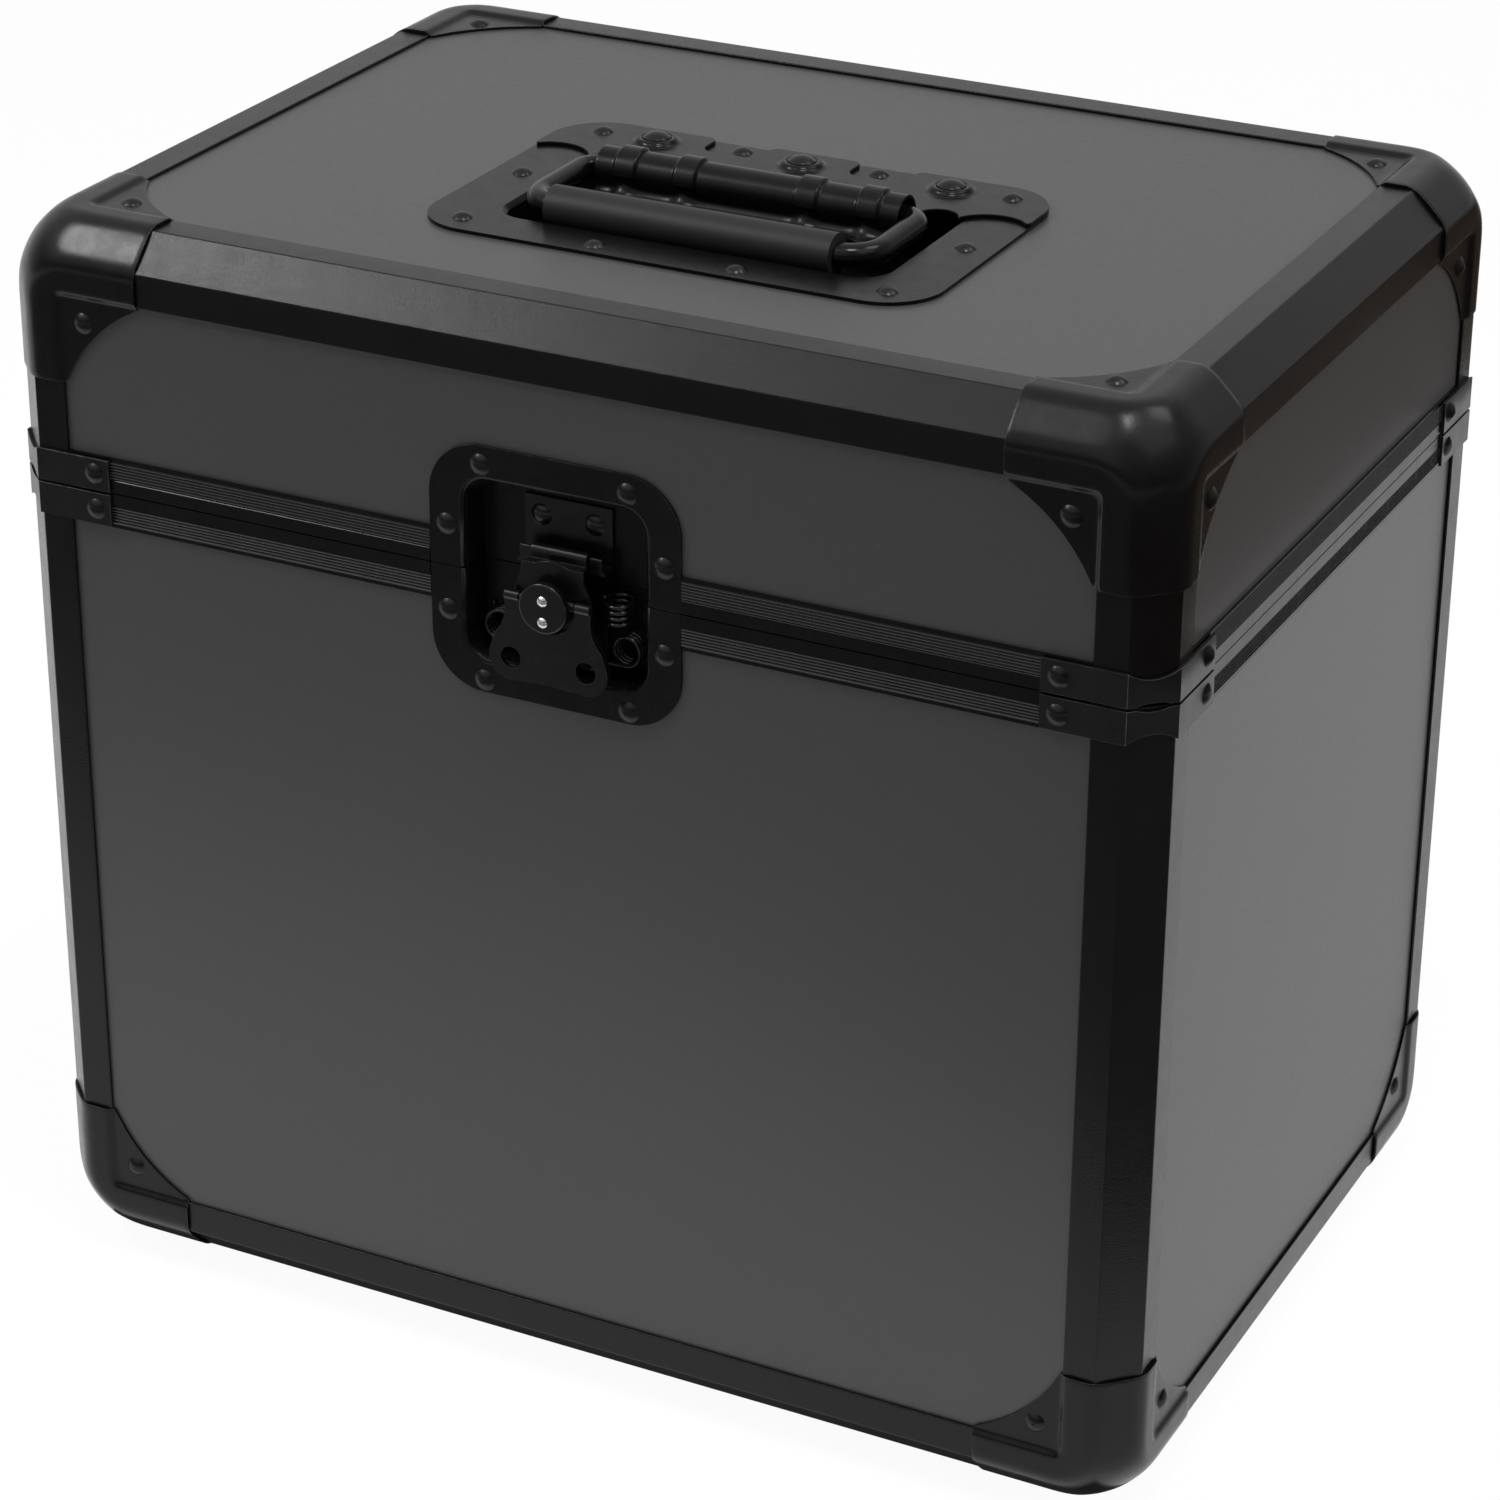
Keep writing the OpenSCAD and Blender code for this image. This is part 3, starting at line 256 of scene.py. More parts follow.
# name, base colour, roughness from and to, orange peel and its size, specular level
trim_black = make_black("trim_black", DEEP_BLACK, 0.2, 0.27, 0.62, 1700, 0.25)
ribbed_black = make_black("ribbed_black", DEEP_BLACK, 0.22, 0.3, 0.1, 1700, ribs=True)
steel_black = make_black("steel_black", DEEP_BLACK, 0.22, 0.31, 0.1, 900, 0.18)
rivet_black = make_black("rivet_black", BLACK, 0.24, 0.34, 0.06, 500, 0.3)
rod_black = make_black("rod_black", (0.003, 0.003, 0.0034), 0.14, 0.22, 0.05, 380, 0.24)
wire_black = make_black("wire_black", (0.005, 0.005, 0.0055), 0.12, 0.2, 0.05, 380, 0.45)
latch_black = make_black("latch_black", (0.0046, 0.0046, 0.005), 0.2, 0.3, 0.08, 900, 0.42)
cap_black = make_black("cap_black", BLACK, 0.22, 0.31, 0.1, 900, 0.24)
bracket_black = make_black("bracket_black", (0.0075, 0.0075, 0.008), 0.26, 0.36, 0.12, 900, 0.26)
edge_wear_and_highlight = make_worn_highlit_edge()
bright = make_bright()
grip_rubber = make_rubber("grip_rubber", (0.0105, 0.0105, 0.0113), 0.5)
foot_rubber = make_rubber("foot_rubber", (0.012, 0.012, 0.0125), 0.7)
foam = make_foam()

SLOT_LOOKS = {"laminate": laminate, "black_trim": trim_black, "black_steel": steel_black,
              "black_rivet": rivet_black, "bright_rivet": bright, "rubber": foot_rubber,
              "foam": foam}
# Part of a node's name to its look. The first that fits counts; None, or no fit, leaves the
# look of the piece's slot.
NAMED_LOOKS = {"handle_bail": rod_black, "handle_grip": grip_rubber, "rivets": None,
               "latch_dish": cap_black, "latch_": latch_black, "brackets": bracket_black,
               "seam_band": ribbed_black}


def look_of(name, slot):
    named = next((look for part, look in NAMED_LOOKS.items() if part in name), None)
    return named or SLOT_LOOKS[slot]


for row in frame["record"]["subparts"]:
    mesh = nodes[row["node"]].data
    mesh.materials.clear()
    mesh.materials.append(look_of(row["node"], row["material_slot"]))


# ---- rounded edges on the CAD pieces, by modifiers alone --------------------

def smooth_group():
    """Geometry nodes that only shade every face smooth."""
    group = bpy.data.node_groups.new("smooth_faces", "GeometryNodeTree")
    group.interface.new_socket("Geometry", in_out="INPUT", socket_type="NodeSocketGeometry")
    group.interface.new_socket("Geometry", in_out="OUTPUT", socket_type="NodeSocketGeometry")
    start, end = group.nodes.new("NodeGroupInput"), group.nodes.new("NodeGroupOutput")
    shade = group.nodes.new("GeometryNodeSetShadeSmooth")
    group.links.new(start.outputs[0], shade.inputs["Geometry"])
    group.links.new(shade.outputs[0], end.inputs[0])
    return group


SMOOTH = smooth_group()


def soften(piece, width, edges=None):
    """Rounds a CAD piece's edges: weld, merge flat faces, bevel, then even the normals."""
    piece.modifiers.new("weld", "WELD").merge_threshold = 2e-6
    flat = piece.modifiers.new("flat", "DECIMATE")
    flat.decimate_type, flat.angle_limit = "DISSOLVE", math.radians(1)
    piece.modifiers.new("smooth", "NODES").node_group = SMOOTH
    edge = piece.modifiers.new("edge", "BEVEL")
    edge.width, edge.segments, edge.limit_method = width, 2, "ANGLE"
    edge.angle_limit = math.radians(32)
    # the bevel's faces take the edge look given: wear with a painted highlight
    if edges:
        piece.data.materials.append(edges)
        edge.material = len(piece.data.materials) - 1
    piece.modifiers.new("even", "WEIGHTED_NORMAL").weight = 80


# Part of a node's name to the width of its rounded edges, in metres.
EDGE_WIDTHS = {"panel": 0.0004, "uprights": 0.0004, "trims": 0.0004,
               "brackets": 0.0003, "leaves": 0.0003, "latch_dish": 0.00035, "latch_keeper": 0.0002,
               "latch_base": 0.0002, "latch_arm": 0.0002, "latch_hook": 0.0002,
               "latch_knob": 0.0002, "latch_wing": 0.0007, "handle_dish": 0.00035, "feet": 0.0004}
# Pieces whose coat is worn at the edges, with a painted highlight along them.
WORN_HIGHLIT_EDGES = ("brackets", "leaves", "latch_dish", "latch_wing", "handle_dish")
for name, piece in nodes.items():
    for part_name, width in EDGE_WIDTHS.items():
        if part_name in name and name not in ("latch_knob_rivets", "latch_wing_pin"):
            soften(piece, width, edges=edge_wear_and_highlight if any(w in name for w in WORN_HIGHLIT_EDGES) else None)
            break


# ---- ball corners: smooth pressings in the place of the CAD caps ------------

# In mm, from the corner of the virtual box inwards.
CHAMFER, LEG_END, LEG_WIDTH = 11.0, 51.0, 23.0
CAP_OUT, WEB_TOP = -1.2, 0.2                  # planes of the legs and of the webs
BALL_AT, BALL_R = 27.7, 33.3                  # centre and radius of the ball
CREASE, BALL_CREASE = 2.6, 1.4                # how softly planes, and ball and planes, meet
RAY_AT = 21.0                                 # the grids are pressed outwards from here
LEG_FLAT, LEG_BEND = 20.4, (20.9, 21.4, 21.9, 22.4, 23.0)
LEG_LINES, WEB_LINES = 15, 16                 # grid lines on the legs and on the webs
WEB_ARC_AT = 75.0                             # centre of the arc that bounds a web
STEP_FROM, STEP_TO, STEP_ROUND = 20.1, 22.9, 3.0
HALVINGS, REACH = 26, 1.5                     # steps and start of the search for the surface


def smooth_max(a, b, k):
    """The greater of a and b, rounded over k where they are close."""
    h = np.maximum(k - np.abs(a - b), 0) / k
    return np.maximum(a, b) + h * h * k / 4


def cap_form(p):
    """Below zero inside the rounded, chamfered corner; p holds points in mm."""
    value = None
    for i in range(3):
        j = (i + 1) % 3
        chamfer = (CHAMFER - p[:, i] - p[:, j]) / math.sqrt(2) + CAP_OUT
        for plane in (CAP_OUT - p[:, i], chamfer):
            value = plane if value is None else smooth_max(value, plane, CREASE)
    ball = np.linalg.norm(np.maximum(BALL_AT - p, 0), axis=1) - BALL_R
    return smooth_max(value, ball, BALL_CREASE)


def ease(x, low, high):
    """0 up to low, 1 from high on, smooth in between."""
    t = np.clip((x - low) / (high - low), 0, 1)
    return t * t * (3 - 2 * t)


def cap_mesh():
    """Outer sheet of one corner in its own octant: three grids on a cube's faces, pressed."""
    line = [LEG_FLAT * i / LEG_LINES for i in range(LEG_LINES + 1)] + list(LEG_BEND)
    line += [LEG_WIDTH + (LEG_END - LEG_WIDTH) * i / WEB_LINES for i in range(1, WEB_LINES + 1)]
    arc_r = math.hypot(LEG_END - WEB_ARC_AT, LEG_WIDTH - WEB_ARC_AT)
    count = len(line)
    grid = []
    for u in line:
        reach = LEG_END
        if u > LEG_WIDTH:
            reach = WEB_ARC_AT - math.sqrt(arc_r ** 2 - (u - WEB_ARC_AT) ** 2)
        grid += [(u, v if v <= LEG_WIDTH else
                  LEG_WIDTH + (v - LEG_WIDTH) * (reach - LEG_WIDTH) / (LEG_END - LEG_WIDTH))
                 for v in line]
    flat = np.array(grid)
    points, faces = [], []
    for axis in range(3):
        p = np.zeros((len(flat), 3))
        p[:, (axis + 1) % 3], p[:, (axis + 2) % 3] = flat[:, 0], flat[:, 1]
        start = np.maximum(p, RAY_AT)
        low, high = np.zeros(len(p)), np.full(len(p), REACH)
        for _ in range(HALVINGS):
            mid = (low + high) / 2
            inside = cap_form(start + (p - start) * mid[:, None]) < 0
            low, high = np.where(inside, mid, low), np.where(inside, high, mid)
        q = start + (p - start) * low[:, None]
        a, b = q[:, (axis + 1) % 3], q[:, (axis + 2) % 3]
        nearest = -smooth_max(-a, -b, STEP_ROUND)
        q[:, axis] += (WEB_TOP - CAP_OUT) * ease(nearest, STEP_FROM, STEP_TO)
        base = len(points)
        points += [tuple(c) for c in q]
        for i in range(count - 1):
            for j in range(count - 1):
                k = base + i * count + j
                faces.append((k, k + count, k + count + 1, k + 1))
    return points, faces


def finish_mesh(piece):
    """Merges doubled points, turns the faces one way and shades them smooth."""
    bm = bmesh.new()
    bm.from_mesh(piece.data)
    bmesh.ops.remove_doubles(bm, verts=bm.verts, dist=1e-5)
    bmesh.ops.dissolve_degenerate(bm, edges=bm.edges, dist=1e-6)
    bmesh.ops.recalc_face_normals(bm, faces=bm.faces)
    bm.to_mesh(piece.data)
    bm.free()
    for face in piece.data.polygons:
        face.use_smooth = True


def make_piece(name, points, faces, look, body, replaced=()):
    """A new smooth mesh piece, its points in metres in the shared frame."""
    data = bpy.data.meshes.new(name)
    data.from_pydata([tuple(p) for p in points], [], faces)
    data.materials.append(look)
    piece = bpy.data.objects.new(name, data)
    scene.collection.objects.link(piece)
    finish_mesh(piece)
    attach(piece, body)
    if replaced:
        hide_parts(*replaced)
    return piece


def rim_bevel(piece, width):
    """Rounds a sheet's cut rims, its edges sharper than 50 degrees; width in metres."""
    rim = piece.modifiers.new("rim", "BEVEL")
    rim.width, rim.segments, rim.limit_method = width, 2, "ANGLE"
    rim.angle_limit = math.radians(50)
    return rim


def thicken(piece, thickness):
    """Gives a sheet its thickness inwards; in metres."""
    sheet = piece.modifiers.new("sheet", "SOLIDIFY")
    sheet.thickness, sheet.offset = thickness, -1


def make_caps():
    """All eight ball corners, by mirroring one octant's sheet."""
    points, faces = cap_mesh()
    local = np.array(points) / 1000
    for level, z, flip_z in (("base", BASE_Z, 1), ("top", TOP_Z, -1)):
        for depth, y in (("front", -HALF_D), ("back", HALF_D)):
            for side, x in (("left", -HALF_W), ("right", HALF_W)):
                signs = np.array([-math.copysign(1, x), -math.copysign(1, y), flip_z])
                world = local * signs + np.array([x, y, z])
                name = f"corner_{level}_{depth}_{side}"
                turned = faces if signs.prod() > 0 else [f[::-1] for f in faces]
                piece = make_piece("ball_" + name, world, turned, cap_black,
                                   body_of_node[name], [name])
                outwards(piece, Vector((x, y, z)))
                thicken(piece, 0.001)
                # the rims take the worn edge look with its painted highlight
                piece.data.materials.append(edge_wear_and_highlight)
                rim_bevel(piece, 0.00028).material = 1


def outwards(piece, beyond):
    """Turns the sheet's faces over if they look away from a point outside it."""
    data = piece.data
    face = min(data.polygons, key=lambda f: (f.center - beyond).length)
    if face.normal.dot(beyond - face.center) < 0:
        data.flip_normals()


make_caps()


# ---- handle cover: plate, pressed barrel and rivet cups ---------------------

HANDLE_AT = np.array([5.0, -27.0, 370.8])     # middle of the handle on the lid, in mm
SHEET, RIM = 1.2, 0.0003                      # the handle's sheet in mm, its rims in metres
BARREL_AT, BARREL_R, BARREL_HALF = (10.0, 3.8), 7.2, 53.0
LUGS, LUG_HALF, LUG_RISE = (-42.4, -21.2, 21.2, 42.4), 3.9, 1.09


def on_handle(points):
    """Handle coordinates in mm to the shared frame in metres."""
    return (np.array(points) + HANDLE_AT) / 1000


def grid_faces(rows, columns):
    """Quads over a grid of points, row by row."""
    return [(i * columns + j, (i + 1) * columns + j, (i + 1) * columns + j + 1, i * columns + j + 1)
            for i in range(rows - 1) for j in range(columns - 1)]


def window(x, half, soft):
    """1 within half of zero, easing to 0 over soft."""
    return 1 - ease(abs(x), half - soft / 2, half + soft / 2)


def barrel_profile():
    """Section of the barrel's sheet, from the plate over the rod to the front flange:
    y, z, the outward direction, and how far a lug may lift it there."""
    cy, cz = BARREL_AT
    rows = []
    for y in (20.0, 19.2, 18.4):
        rows.append((y, 2.4 + 0.05 * (20 - y), 0, 1, 0))
    for i in range(46):
        a = math.radians(2 + (203 - 2) * i / 45)
        lift = float(ease(math.degrees(a), 62, 68) * (1 - ease(math.degrees(a), 176, 184)))
        rows.append((cy + BARREL_R * math.cos(a), cz + BARREL_R * math.sin(a),
                     math.cos(a), math.sin(a), lift))
    for y, z in ((2.9, -0.1), (2.2, -1.1), (1.3, -1.6), (0.4, -1.8), (-0.4, -1.8)):
        rows.append((y, z, -0.3, 0.95, 0))
    return rows


def make_barrel():
    """The barrel over the handle's rod: one pressed sheet with four lugs."""
    rows = barrel_profile()
    steps, front_from = 265, 41               # front_from: the row after which the front begins
    points = []
    for i in range(steps):
        x = -BARREL_HALF + 2 * BARREL_HALF * i / (steps - 1)
        lug = max(float(window(x - at, LUG_HALF, 0.9)) for at in LUGS)
        swell = sum(math.exp(-((x - at) / 3.6) ** 2) for at in LUGS)
        for k, (y, z, ny, nz, lift) in enumerate(rows):
            rise = LUG_RISE * lug * lift
            front = max(0.0, (k - front_from) / (len(rows) - 1 - front_from))
            points.append((x, y + ny * rise - 2.4 * swell * front ** 1.5,
                           z + nz * rise + 1.1 * swell * math.sin(math.pi * min(1, front))))
    piece = make_piece("handle_barrel_sheet", on_handle(points), grid_faces(steps, len(rows)),
                       steel_black, "case_lid")
    outwards(piece, Vector(on_handle([(0, 10, 60)])[0]))
    thicken(piece, (SHEET - 0.2) / 1000)
    rim_bevel(piece, RIM)


def arc(cx, cy, r, start, end, count):
    """Points of a circle's arc, angles in degrees."""
    return [(cx + r * math.cos(math.radians(start + (end - start) * i / count)),
             cy + r * math.sin(math.radians(start + (end - start) * i / count)))
            for i in range(count + 1)]


def cover_outline():
    """Right half of the cover's plan: lobe, notch, lobe, ear and the cut-outs beside the barrel."""
    far = 56.5
    half = arc(13, far - 3, 3, 90, 0, 5) + arc(20, 47.5, 4, 180, 270, 6)
    half += arc(32, 47.5, 4, 270, 360, 6) + arc(39, far - 3, 3, 180, 90, 5)
    half += arc(68.5, 37.5, 19, 90, 0, 14)
    half += arc(85.5, 27.6, 2, 0, -60, 4) + arc(77.6, 16, 13.5, 62, 152, 14)
    half += arc(59, 20, 6.5, 10, 180, 12) + [(52.5, 16)]
    return half + [(-x, y) for x, y in reversed(half)]


def make_cover_plate():
    top = 2 * SHEET
    outline = on_handle([(x, y, top) for x, y in cover_outline()])
    piece = make_piece("handle_cover_plate", outline, [tuple(range(len(outline)))], steel_black,
                       "case_lid", ["handle_cover"])
    outwards(piece, Vector(on_handle([(0, 0, top + 500)])[0]))
    thicken(piece, SHEET / 1000)
    rim_bevel(piece, RIM)
    for face in piece.data.polygons:
        face.use_smooth = False


def make_rivet_cups():
    """The pressed cups round the three big rivets: surfaces of revolution, in one piece."""
    profile = [(8.6, 2.42), (7.9, 2.46), (7.3, 2.75), (6.9, 3.3),
               (6.5, 3.8), (6.0, 4.0), (5.2, 4.0), (4.8, 3.7)]
    steps = 40
    turns = [(math.cos(math.tau * k / steps), math.sin(math.tau * k / steps)) for k in range(steps)]
    points, faces = [], []
    for cx in (-52.5, 0, 52.5):
        base = len(points)
        for r, z in profile:
            points += [(cx + r * across, 44.5 + r * along, z) for across, along in turns]
        for i in range(len(profile) - 1):
            for k in range(steps):
                a, b = base + i * steps + k, base + i * steps + (k + 1) % steps
                faces.append((a, b, b + steps, a + steps))
    make_piece("handle_rivet_cups", on_handle(points), faces, steel_black, "case_lid")


make_cover_plate()
make_barrel()
make_rivet_cups()


# ---- latch springs: the CAD coils as smooth round wire -----------------------

PANEL_MM, SEAM_MM = 138.3, 286                # front of the panels and the seam's height, in mm


def on_front(points):
    """Latch coordinates in mm (right, up from the seam, out of the panel) to metres."""
    return [(x / 1000, -(PANEL_MM + z) / 1000, (SEAM_MM + y) / 1000) for x, y, z in points]


def coil_path(r, pitch, turns, a0, leg0, leg1):
    """A coil about +Z in mm, with a straight leg at each end, as part.scad has it."""
    steps = 40
    count = round(turns * steps)
    path = []
    for i in range(count + 1):
        a = math.radians(a0 + 360 * i / steps)
        path.append((r * math.cos(a), r * math.sin(a), pitch * i / steps))
    a, b = math.radians(a0), math.radians(a0 + 360 * count / steps)
    first, last = path[0], path[-1]
    lead = [(first[0] + leg0 * t * math.sin(a), first[1] - leg0 * t * math.cos(a), 0)
            for t in (1, 0.75, 0.5, 0.25)]
    tail = [(last[0] - leg1 * t * math.sin(b), last[1] + leg1 * t * math.cos(b), last[2])
            for t in (0.25, 0.5, 0.75, 1)]
    return lead + path + tail


def sweep(path, r, sides=12):
    """A round tube of radius r along a path, closed at its ends."""
    line = [Vector(p) for p in path]
    points, faces = [], []
    side = (line[1] - line[0]).cross(Vector((0, 0, 1))).normalized()
    for i, p in enumerate(line):
        along = (line[min(i + 1, len(line) - 1)] - line[max(i - 1, 0)]).normalized()
        side = (side - side.dot(along) * along).normalized()
        up = along.cross(side)
        points += [p + r * (math.cos(a) * side + math.sin(a) * up)
                   for a in (math.tau * k / sides for k in range(sides))]
    for i in range(len(line) - 1):
        for k in range(sides):
            a, b = i * sides + k, i * sides + (k + 1) % sides
            faces.append((a, b, b + sides, a + sides))
    faces += [tuple(range(sides))[::-1], tuple(range(len(points) - sides, len(points)))]
    return points, faces


def make_springs():
    """The two ring springs beside the knob, mirrored, and the lift coil."""
    ring, ring_faces = sweep(coil_path(r=4.6, pitch=1.7, turns=3.25, a0=180, leg0=5, leg1=9), 0.6)
    lift, lift_faces = sweep(coil_path(r=4.1, pitch=1.9, turns=4, a0=200, leg0=3, leg1=3), 0.55)
    places = {"right": [(22 - x, y - 18.7, z - 8.8) for x, y, z in ring],
              "left": [(x - 22, y - 18.7, z - 8.8) for x, y, z in ring]}
    for side, points in places.items():
        make_piece(f"latch_wire_{side}", on_front(points), ring_faces, wire_black, "case_body",
                   [f"latch_coil_{side}"])
    make_piece("latch_wire_lift", on_front([(x + 19.6, -z - 2, y - 4.4) for x, y, z in lift]),
               lift_faces, wire_black, "case_body", ["latch_lift_coil"])


make_springs()


def make_rolled_edge():
    """The rolled lip where the latch dish turns from its flange into the recess."""
    half_w, half_h, round_r, middle, depth, lip_r = 32.6, 31.1, 9.6, 0.5, -0.6, 1.58
    right = arc(half_w - round_r, half_h - round_r, round_r, 0, 90, 14)
    upper = [(half_w, 0.0)] + right + [(-x, y) for x, y in reversed(right)] + [(-half_w, 0.0)]
    for name, body, turn in (("upper", "case_lid", 1), ("lower", "case_body", -1)):
        line = [(x, turn * y + middle, depth) for x, y in upper]
        line[0], line[-1] = ((x, turn * 0.35, z) for x, _, z in (line[0], line[-1]))
        points, faces = sweep(line, lip_r, 20)
        make_piece(f"latch_rolled_lip_{name}", on_front(points), faces, steel_black, body)


make_rolled_edge()


# ---- foam lining: replaces the plain CAD pads ------------------------------

def pad_piece(node):
    """A foam pad in the space of its CAD pad, with cut edges slightly rounded."""
    piece = bpy.data.objects.new(node.replace("foam", "lining"), nodes[node].data.copy())
    scene.collection.objects.link(piece)
    piece.data.materials.clear()
    piece.data.materials.append(foam)
    bm = bmesh.new()
    bm.from_mesh(piece.data)
    bmesh.ops.remove_doubles(bm, verts=bm.verts, dist=1e-5)
    bmesh.ops.dissolve_limit(bm, angle_limit=math.radians(1), verts=bm.verts, edges=bm.edges)
    bm.to_mesh(piece.data)
    bm.free()
    cut = piece.modifiers.new("soften", "BEVEL")
    cut.width, cut.segments, cut.limit_method = 0.0018, 3, "ANGLE"
    for face in piece.data.polygons:
        face.use_smooth = True
    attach(piece, body_of_node[node])
    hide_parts(node)


for name in [n for n in nodes if "foam" in n]:
    pad_piece(name)


# ---- floor, light and camera -----------------------------------------------

def seen_directly(tree):
    """1 for camera, glossy and transmission rays, 0 for the rays that light things."""
    path = tree.nodes.new("ShaderNodeLightPath")
    total = path.outputs["Is Camera Ray"]
    for kind in ("Is Glossy Ray", "Is Transmission Ray"):
        add = tree.nodes.new("ShaderNodeMath")
        add.operation, add.use_clamp = "ADD", True
        tree.links.new(total, add.inputs[0])
        tree.links.new(path.outputs[kind], add.inputs[1])
        total = add.outputs[0]
    return total


def make_floor():
    """White where nothing shades it: part glow, part surface that takes the shadow."""
    bpy.ops.mesh.primitive_plane_add(size=30, location=(0, 0, -0.0002))
    floor = bpy.context.object
    floor.name = "floor"
    g = Graph("floor_white")
    base = g.add("ShaderNodeBsdfDiffuse")
    g.link(g.ramp(g.noise(3, 2), [(0.3, 0.9), (0.7, 0.92)]), base.inputs["Color"])
    glow = g.add("ShaderNodeEmission")
    glow.inputs["Strength"].default_value = 1.055
    blend = g.add("ShaderNodeMixShader")
    g.link(g.math("MULTIPLY", seen_directly(g.tree), 0.9), blend.inputs["Fac"])
    g.link(base.outputs[0], blend.inputs[1])
    g.link(glow.outputs[0], blend.inputs[2])
    g.link(blend.outputs[0], g.out.inputs["Surface"])
    floor.data.materials.append(g.mat)


def make_reflection_card(name, points, low, high):
    """A dark card out of the picture, that only the case's gloss shows: it paints dark reflections
    into the case.
    """
    data = bpy.data.meshes.new(name)
    data.from_pydata(points, [], [tuple(range(len(points)))])
    g = Graph(name + "_card")
    glow = g.add("ShaderNodeEmission")
    g.link(g.ramp(g.noise(4, 2), [(0.3, low), (0.7, high)]), glow.inputs["Color"])
    g.link(glow.outputs[0], g.out.inputs["Surface"])
    data.materials.append(g.mat)
    dark_card = bpy.data.objects.new(name, data)
    scene.collection.objects.link(dark_card)
    dark_card.visible_camera = dark_card.visible_diffuse = dark_card.visible_shadow = False
    dark_card.visible_transmission = dark_card.visible_volume_scatter = False


def make_world():
    """Light for the case, white for the camera, and a greyer room for its reflections."""
    world = bpy.data.worlds.new("studio")
    scene.world = world
    world.use_nodes = True
    tree = world.node_tree
    tree.nodes.clear()
    out = tree.nodes.new("ShaderNodeOutputWorld")
    lit, white, room = (tree.nodes.new("ShaderNodeBackground") for _ in range(3))
    lit.inputs["Color"].default_value = white.inputs["Color"].default_value = (1, 1, 1, 1)
    lit.inputs["Strength"].default_value = 0.19
    coord = tree.nodes.new("ShaderNodeTexCoord")
    split = tree.nodes.new("ShaderNodeSeparateXYZ")
    tree.links.new(coord.outputs["Generated"], split.inputs[0])
    deep, high, aside = (tree.nodes.new("ShaderNodeMapRange") for _ in range(3))
    for node, limits in ((deep, (-0.15, 0.5, 0.12, 0.7)), (high, (0.15, 0.55, 0.0, 0.75)),
                         (aside, (0.0, 0.5, 1.0, 0.46))):
        node.interpolation_type = "SMOOTHSTEP"
        set_range(node, *limits)
    tree.links.new(split.outputs["Y"], deep.inputs["Value"])
    tree.links.new(split.outputs["Z"], high.inputs["Value"])
    tree.links.new(split.outputs["X"], aside.inputs["Value"])
    level, both = (tree.nodes.new("ShaderNodeMath") for _ in range(2))
    level.operation, both.operation = "MAXIMUM", "MULTIPLY"
    tree.links.new(deep.outputs["Result"], level.inputs[0])
    tree.links.new(high.outputs["Result"], level.inputs[1])
    tree.links.new(level.outputs[0], both.inputs[0])
    tree.links.new(aside.outputs["Result"], both.inputs[1])
    tree.links.new(both.outputs[0], room.inputs["Color"])
    shown, blend = (tree.nodes.new("ShaderNodeMixShader") for _ in range(2))
    path = tree.nodes.new("ShaderNodeLightPath")
    tree.links.new(path.outputs["Is Camera Ray"], shown.inputs["Fac"])
    tree.links.new(room.outputs[0], shown.inputs[1])
    tree.links.new(white.outputs[0], shown.inputs[2])
    tree.links.new(seen_directly(tree), blend.inputs["Fac"])
    tree.links.new(lit.outputs[0], blend.inputs[1])
    tree.links.new(shown.outputs[0], blend.inputs[2])
    tree.links.new(blend.outputs[0], out.inputs["Surface"])


def softbox(name, towards, distance, size, watts, aim, mirrored=True, fan=180):
    """An area light in that direction from aim, facing it; fan is its spread in degrees."""
    data = bpy.data.lights.new(name, "AREA")
    data.spread = math.radians(fan)
    data.shape, data.size, data.size_y, data.energy = "RECTANGLE", size[0], size[1], watts
    lamp = bpy.data.objects.new(name, data)
    scene.collection.objects.link(lamp)
    direction = Vector(towards).normalized()
    lamp.location = Vector(aim) + direction * distance
    lamp.rotation_mode = "QUATERNION"
    lamp.rotation_quaternion = direction.to_track_quat("Z", "Y")
    lamp.visible_glossy = mirrored


CAM_AZ, CAM_EL, CAM_ROLL = (math.radians(a) for a in (26.616, 25.923, 0.329))
CAM_AT, CAM_LENS, SENSOR = (0.6018, -1.2081, 0.8274), 106.73, 36


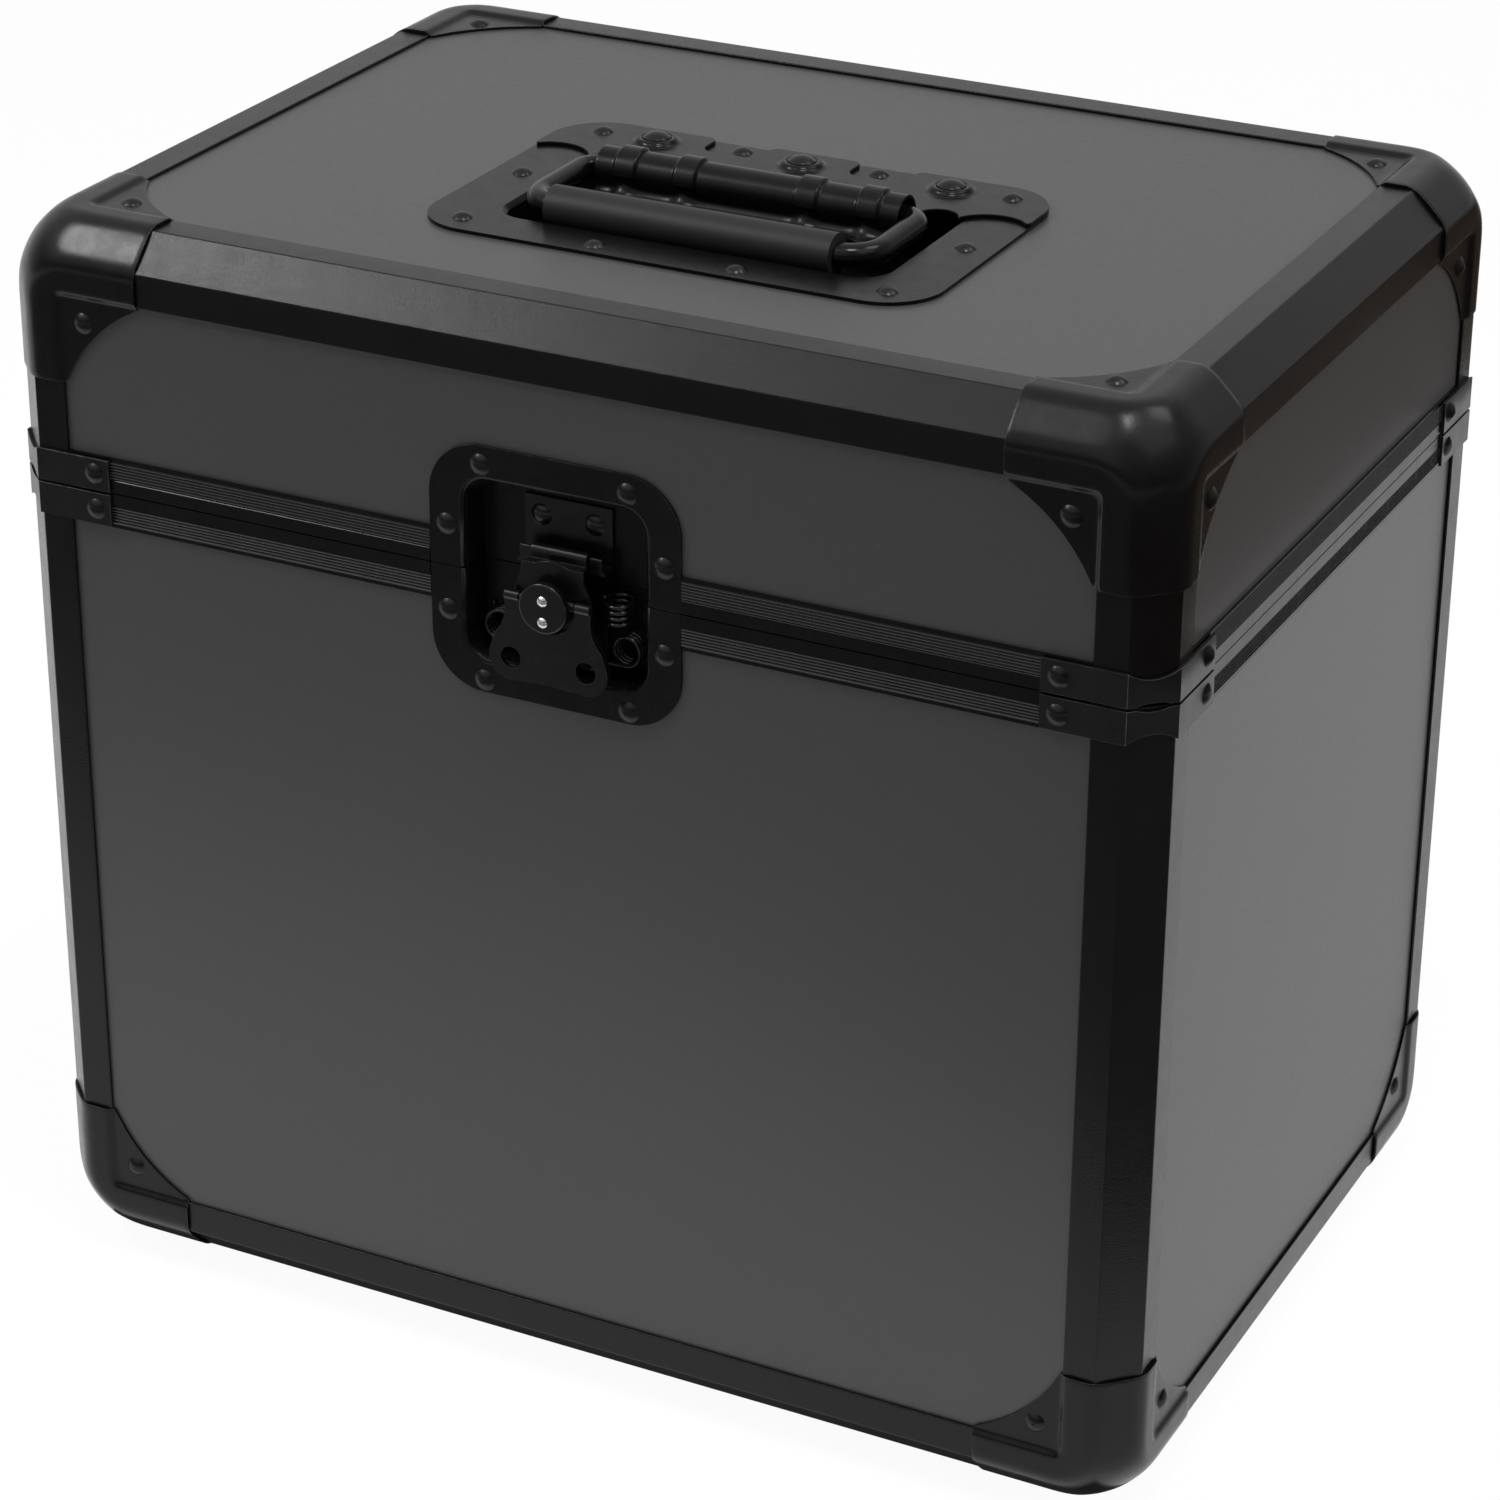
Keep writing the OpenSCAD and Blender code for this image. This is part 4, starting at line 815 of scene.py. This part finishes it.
def make_camera():
    back = Vector((math.sin(CAM_AZ) * math.cos(CAM_EL), -math.cos(CAM_AZ) * math.cos(CAM_EL),
                   math.sin(CAM_EL)))
    right = Vector((0, 0, 1)).cross(back).normalized()
    up = back.cross(right)
    c, s = math.cos(CAM_ROLL), math.sin(CAM_ROLL)
    x_axis, y_axis = c * right + s * up, c * up - s * right
    data = bpy.data.cameras.new("camera")
    data.lens, data.sensor_width = CAM_LENS, SENSOR
    camera = bpy.data.objects.new("camera", data)
    scene.collection.objects.link(camera)
    turn = Matrix((x_axis, y_axis, back)).transposed().to_4x4()
    camera.matrix_world = Matrix.Translation(CAM_AT) @ turn
    scene.camera = camera


ON_FLOOR, AT_SEAM = 0.001, 0.2875         # heights of the cards


def card(height, *corners):
    """Corners of a level card, in metres."""
    return [(x, y, height) for x, y in corners]


make_floor()
# Cards seen only in reflections: painted dark reflections in front of and beside the case.
make_reflection_card("reflection_card_front", card(ON_FLOOR, (-1.9, -2.6), (1.9, -2.6), (1.9, 0.1), (0.5, 0.1),
                             (0.3, -0.25), (-0.1, -0.42), (-1.9, -0.42)), 0.17, 0.2)
make_reflection_card("reflection_card_side", card(AT_SEAM, (0.203, -0.5), (1.3, -0.5), (1.3, 1.6), (0.203, 1.6)),
          (0.085, 0.063, 0.046), (0.1, 0.074, 0.054))
# Painted shadow of the floor under the case, shown only in the case's reflections.
make_reflection_card("shadow_card_under", card(ON_FLOOR, (-0.19, -0.136), (0.19, -0.136), (0.19, 0.136),
                             (-0.19, 0.136)), 0.03, 0.05)
make_world()
LEFT_BALL, RIGHT_EDGE, RIGHT_BALL = (-0.17, -0.135, 0.37), (0.17, -0.135, 0.37), (0.17, -0.12, 0.37)
softbox("key", (-0.552, -0.328, 0.769), 1.0, (0.26, 0.26), 4.0, LEFT_BALL)
softbox("over", (-0.35, -0.37, 0.86), 1.5, (0.42, 0.36), 1.3, RIGHT_EDGE)
softbox("crown", (0.12, -0.17, 0.977), 1.5, (0.28, 0.24), 6, RIGHT_BALL)
softbox("top", (0.385, 0.365, 0.848), 1.8, (0.6, 0.6), 4.5, RIGHT_BALL)
softbox("glow", (0.573, -0.08, 0.816), 1.5, (1.0, 0.9), 2.6, RIGHT_BALL)
softbox("side", (0.9, 0.25, 0.35), 2.0, (0.8, 1.4), 6.5, (0, 0, 0.2), mirrored=False)
softbox("low", (-0.1, -1.0, 0.12), 0.6, (0.8, 0.2), 0.068, (-0.05, 0, 0.05), mirrored=False, fan=80)
make_camera()
scene.view_settings.view_transform = "Standard"
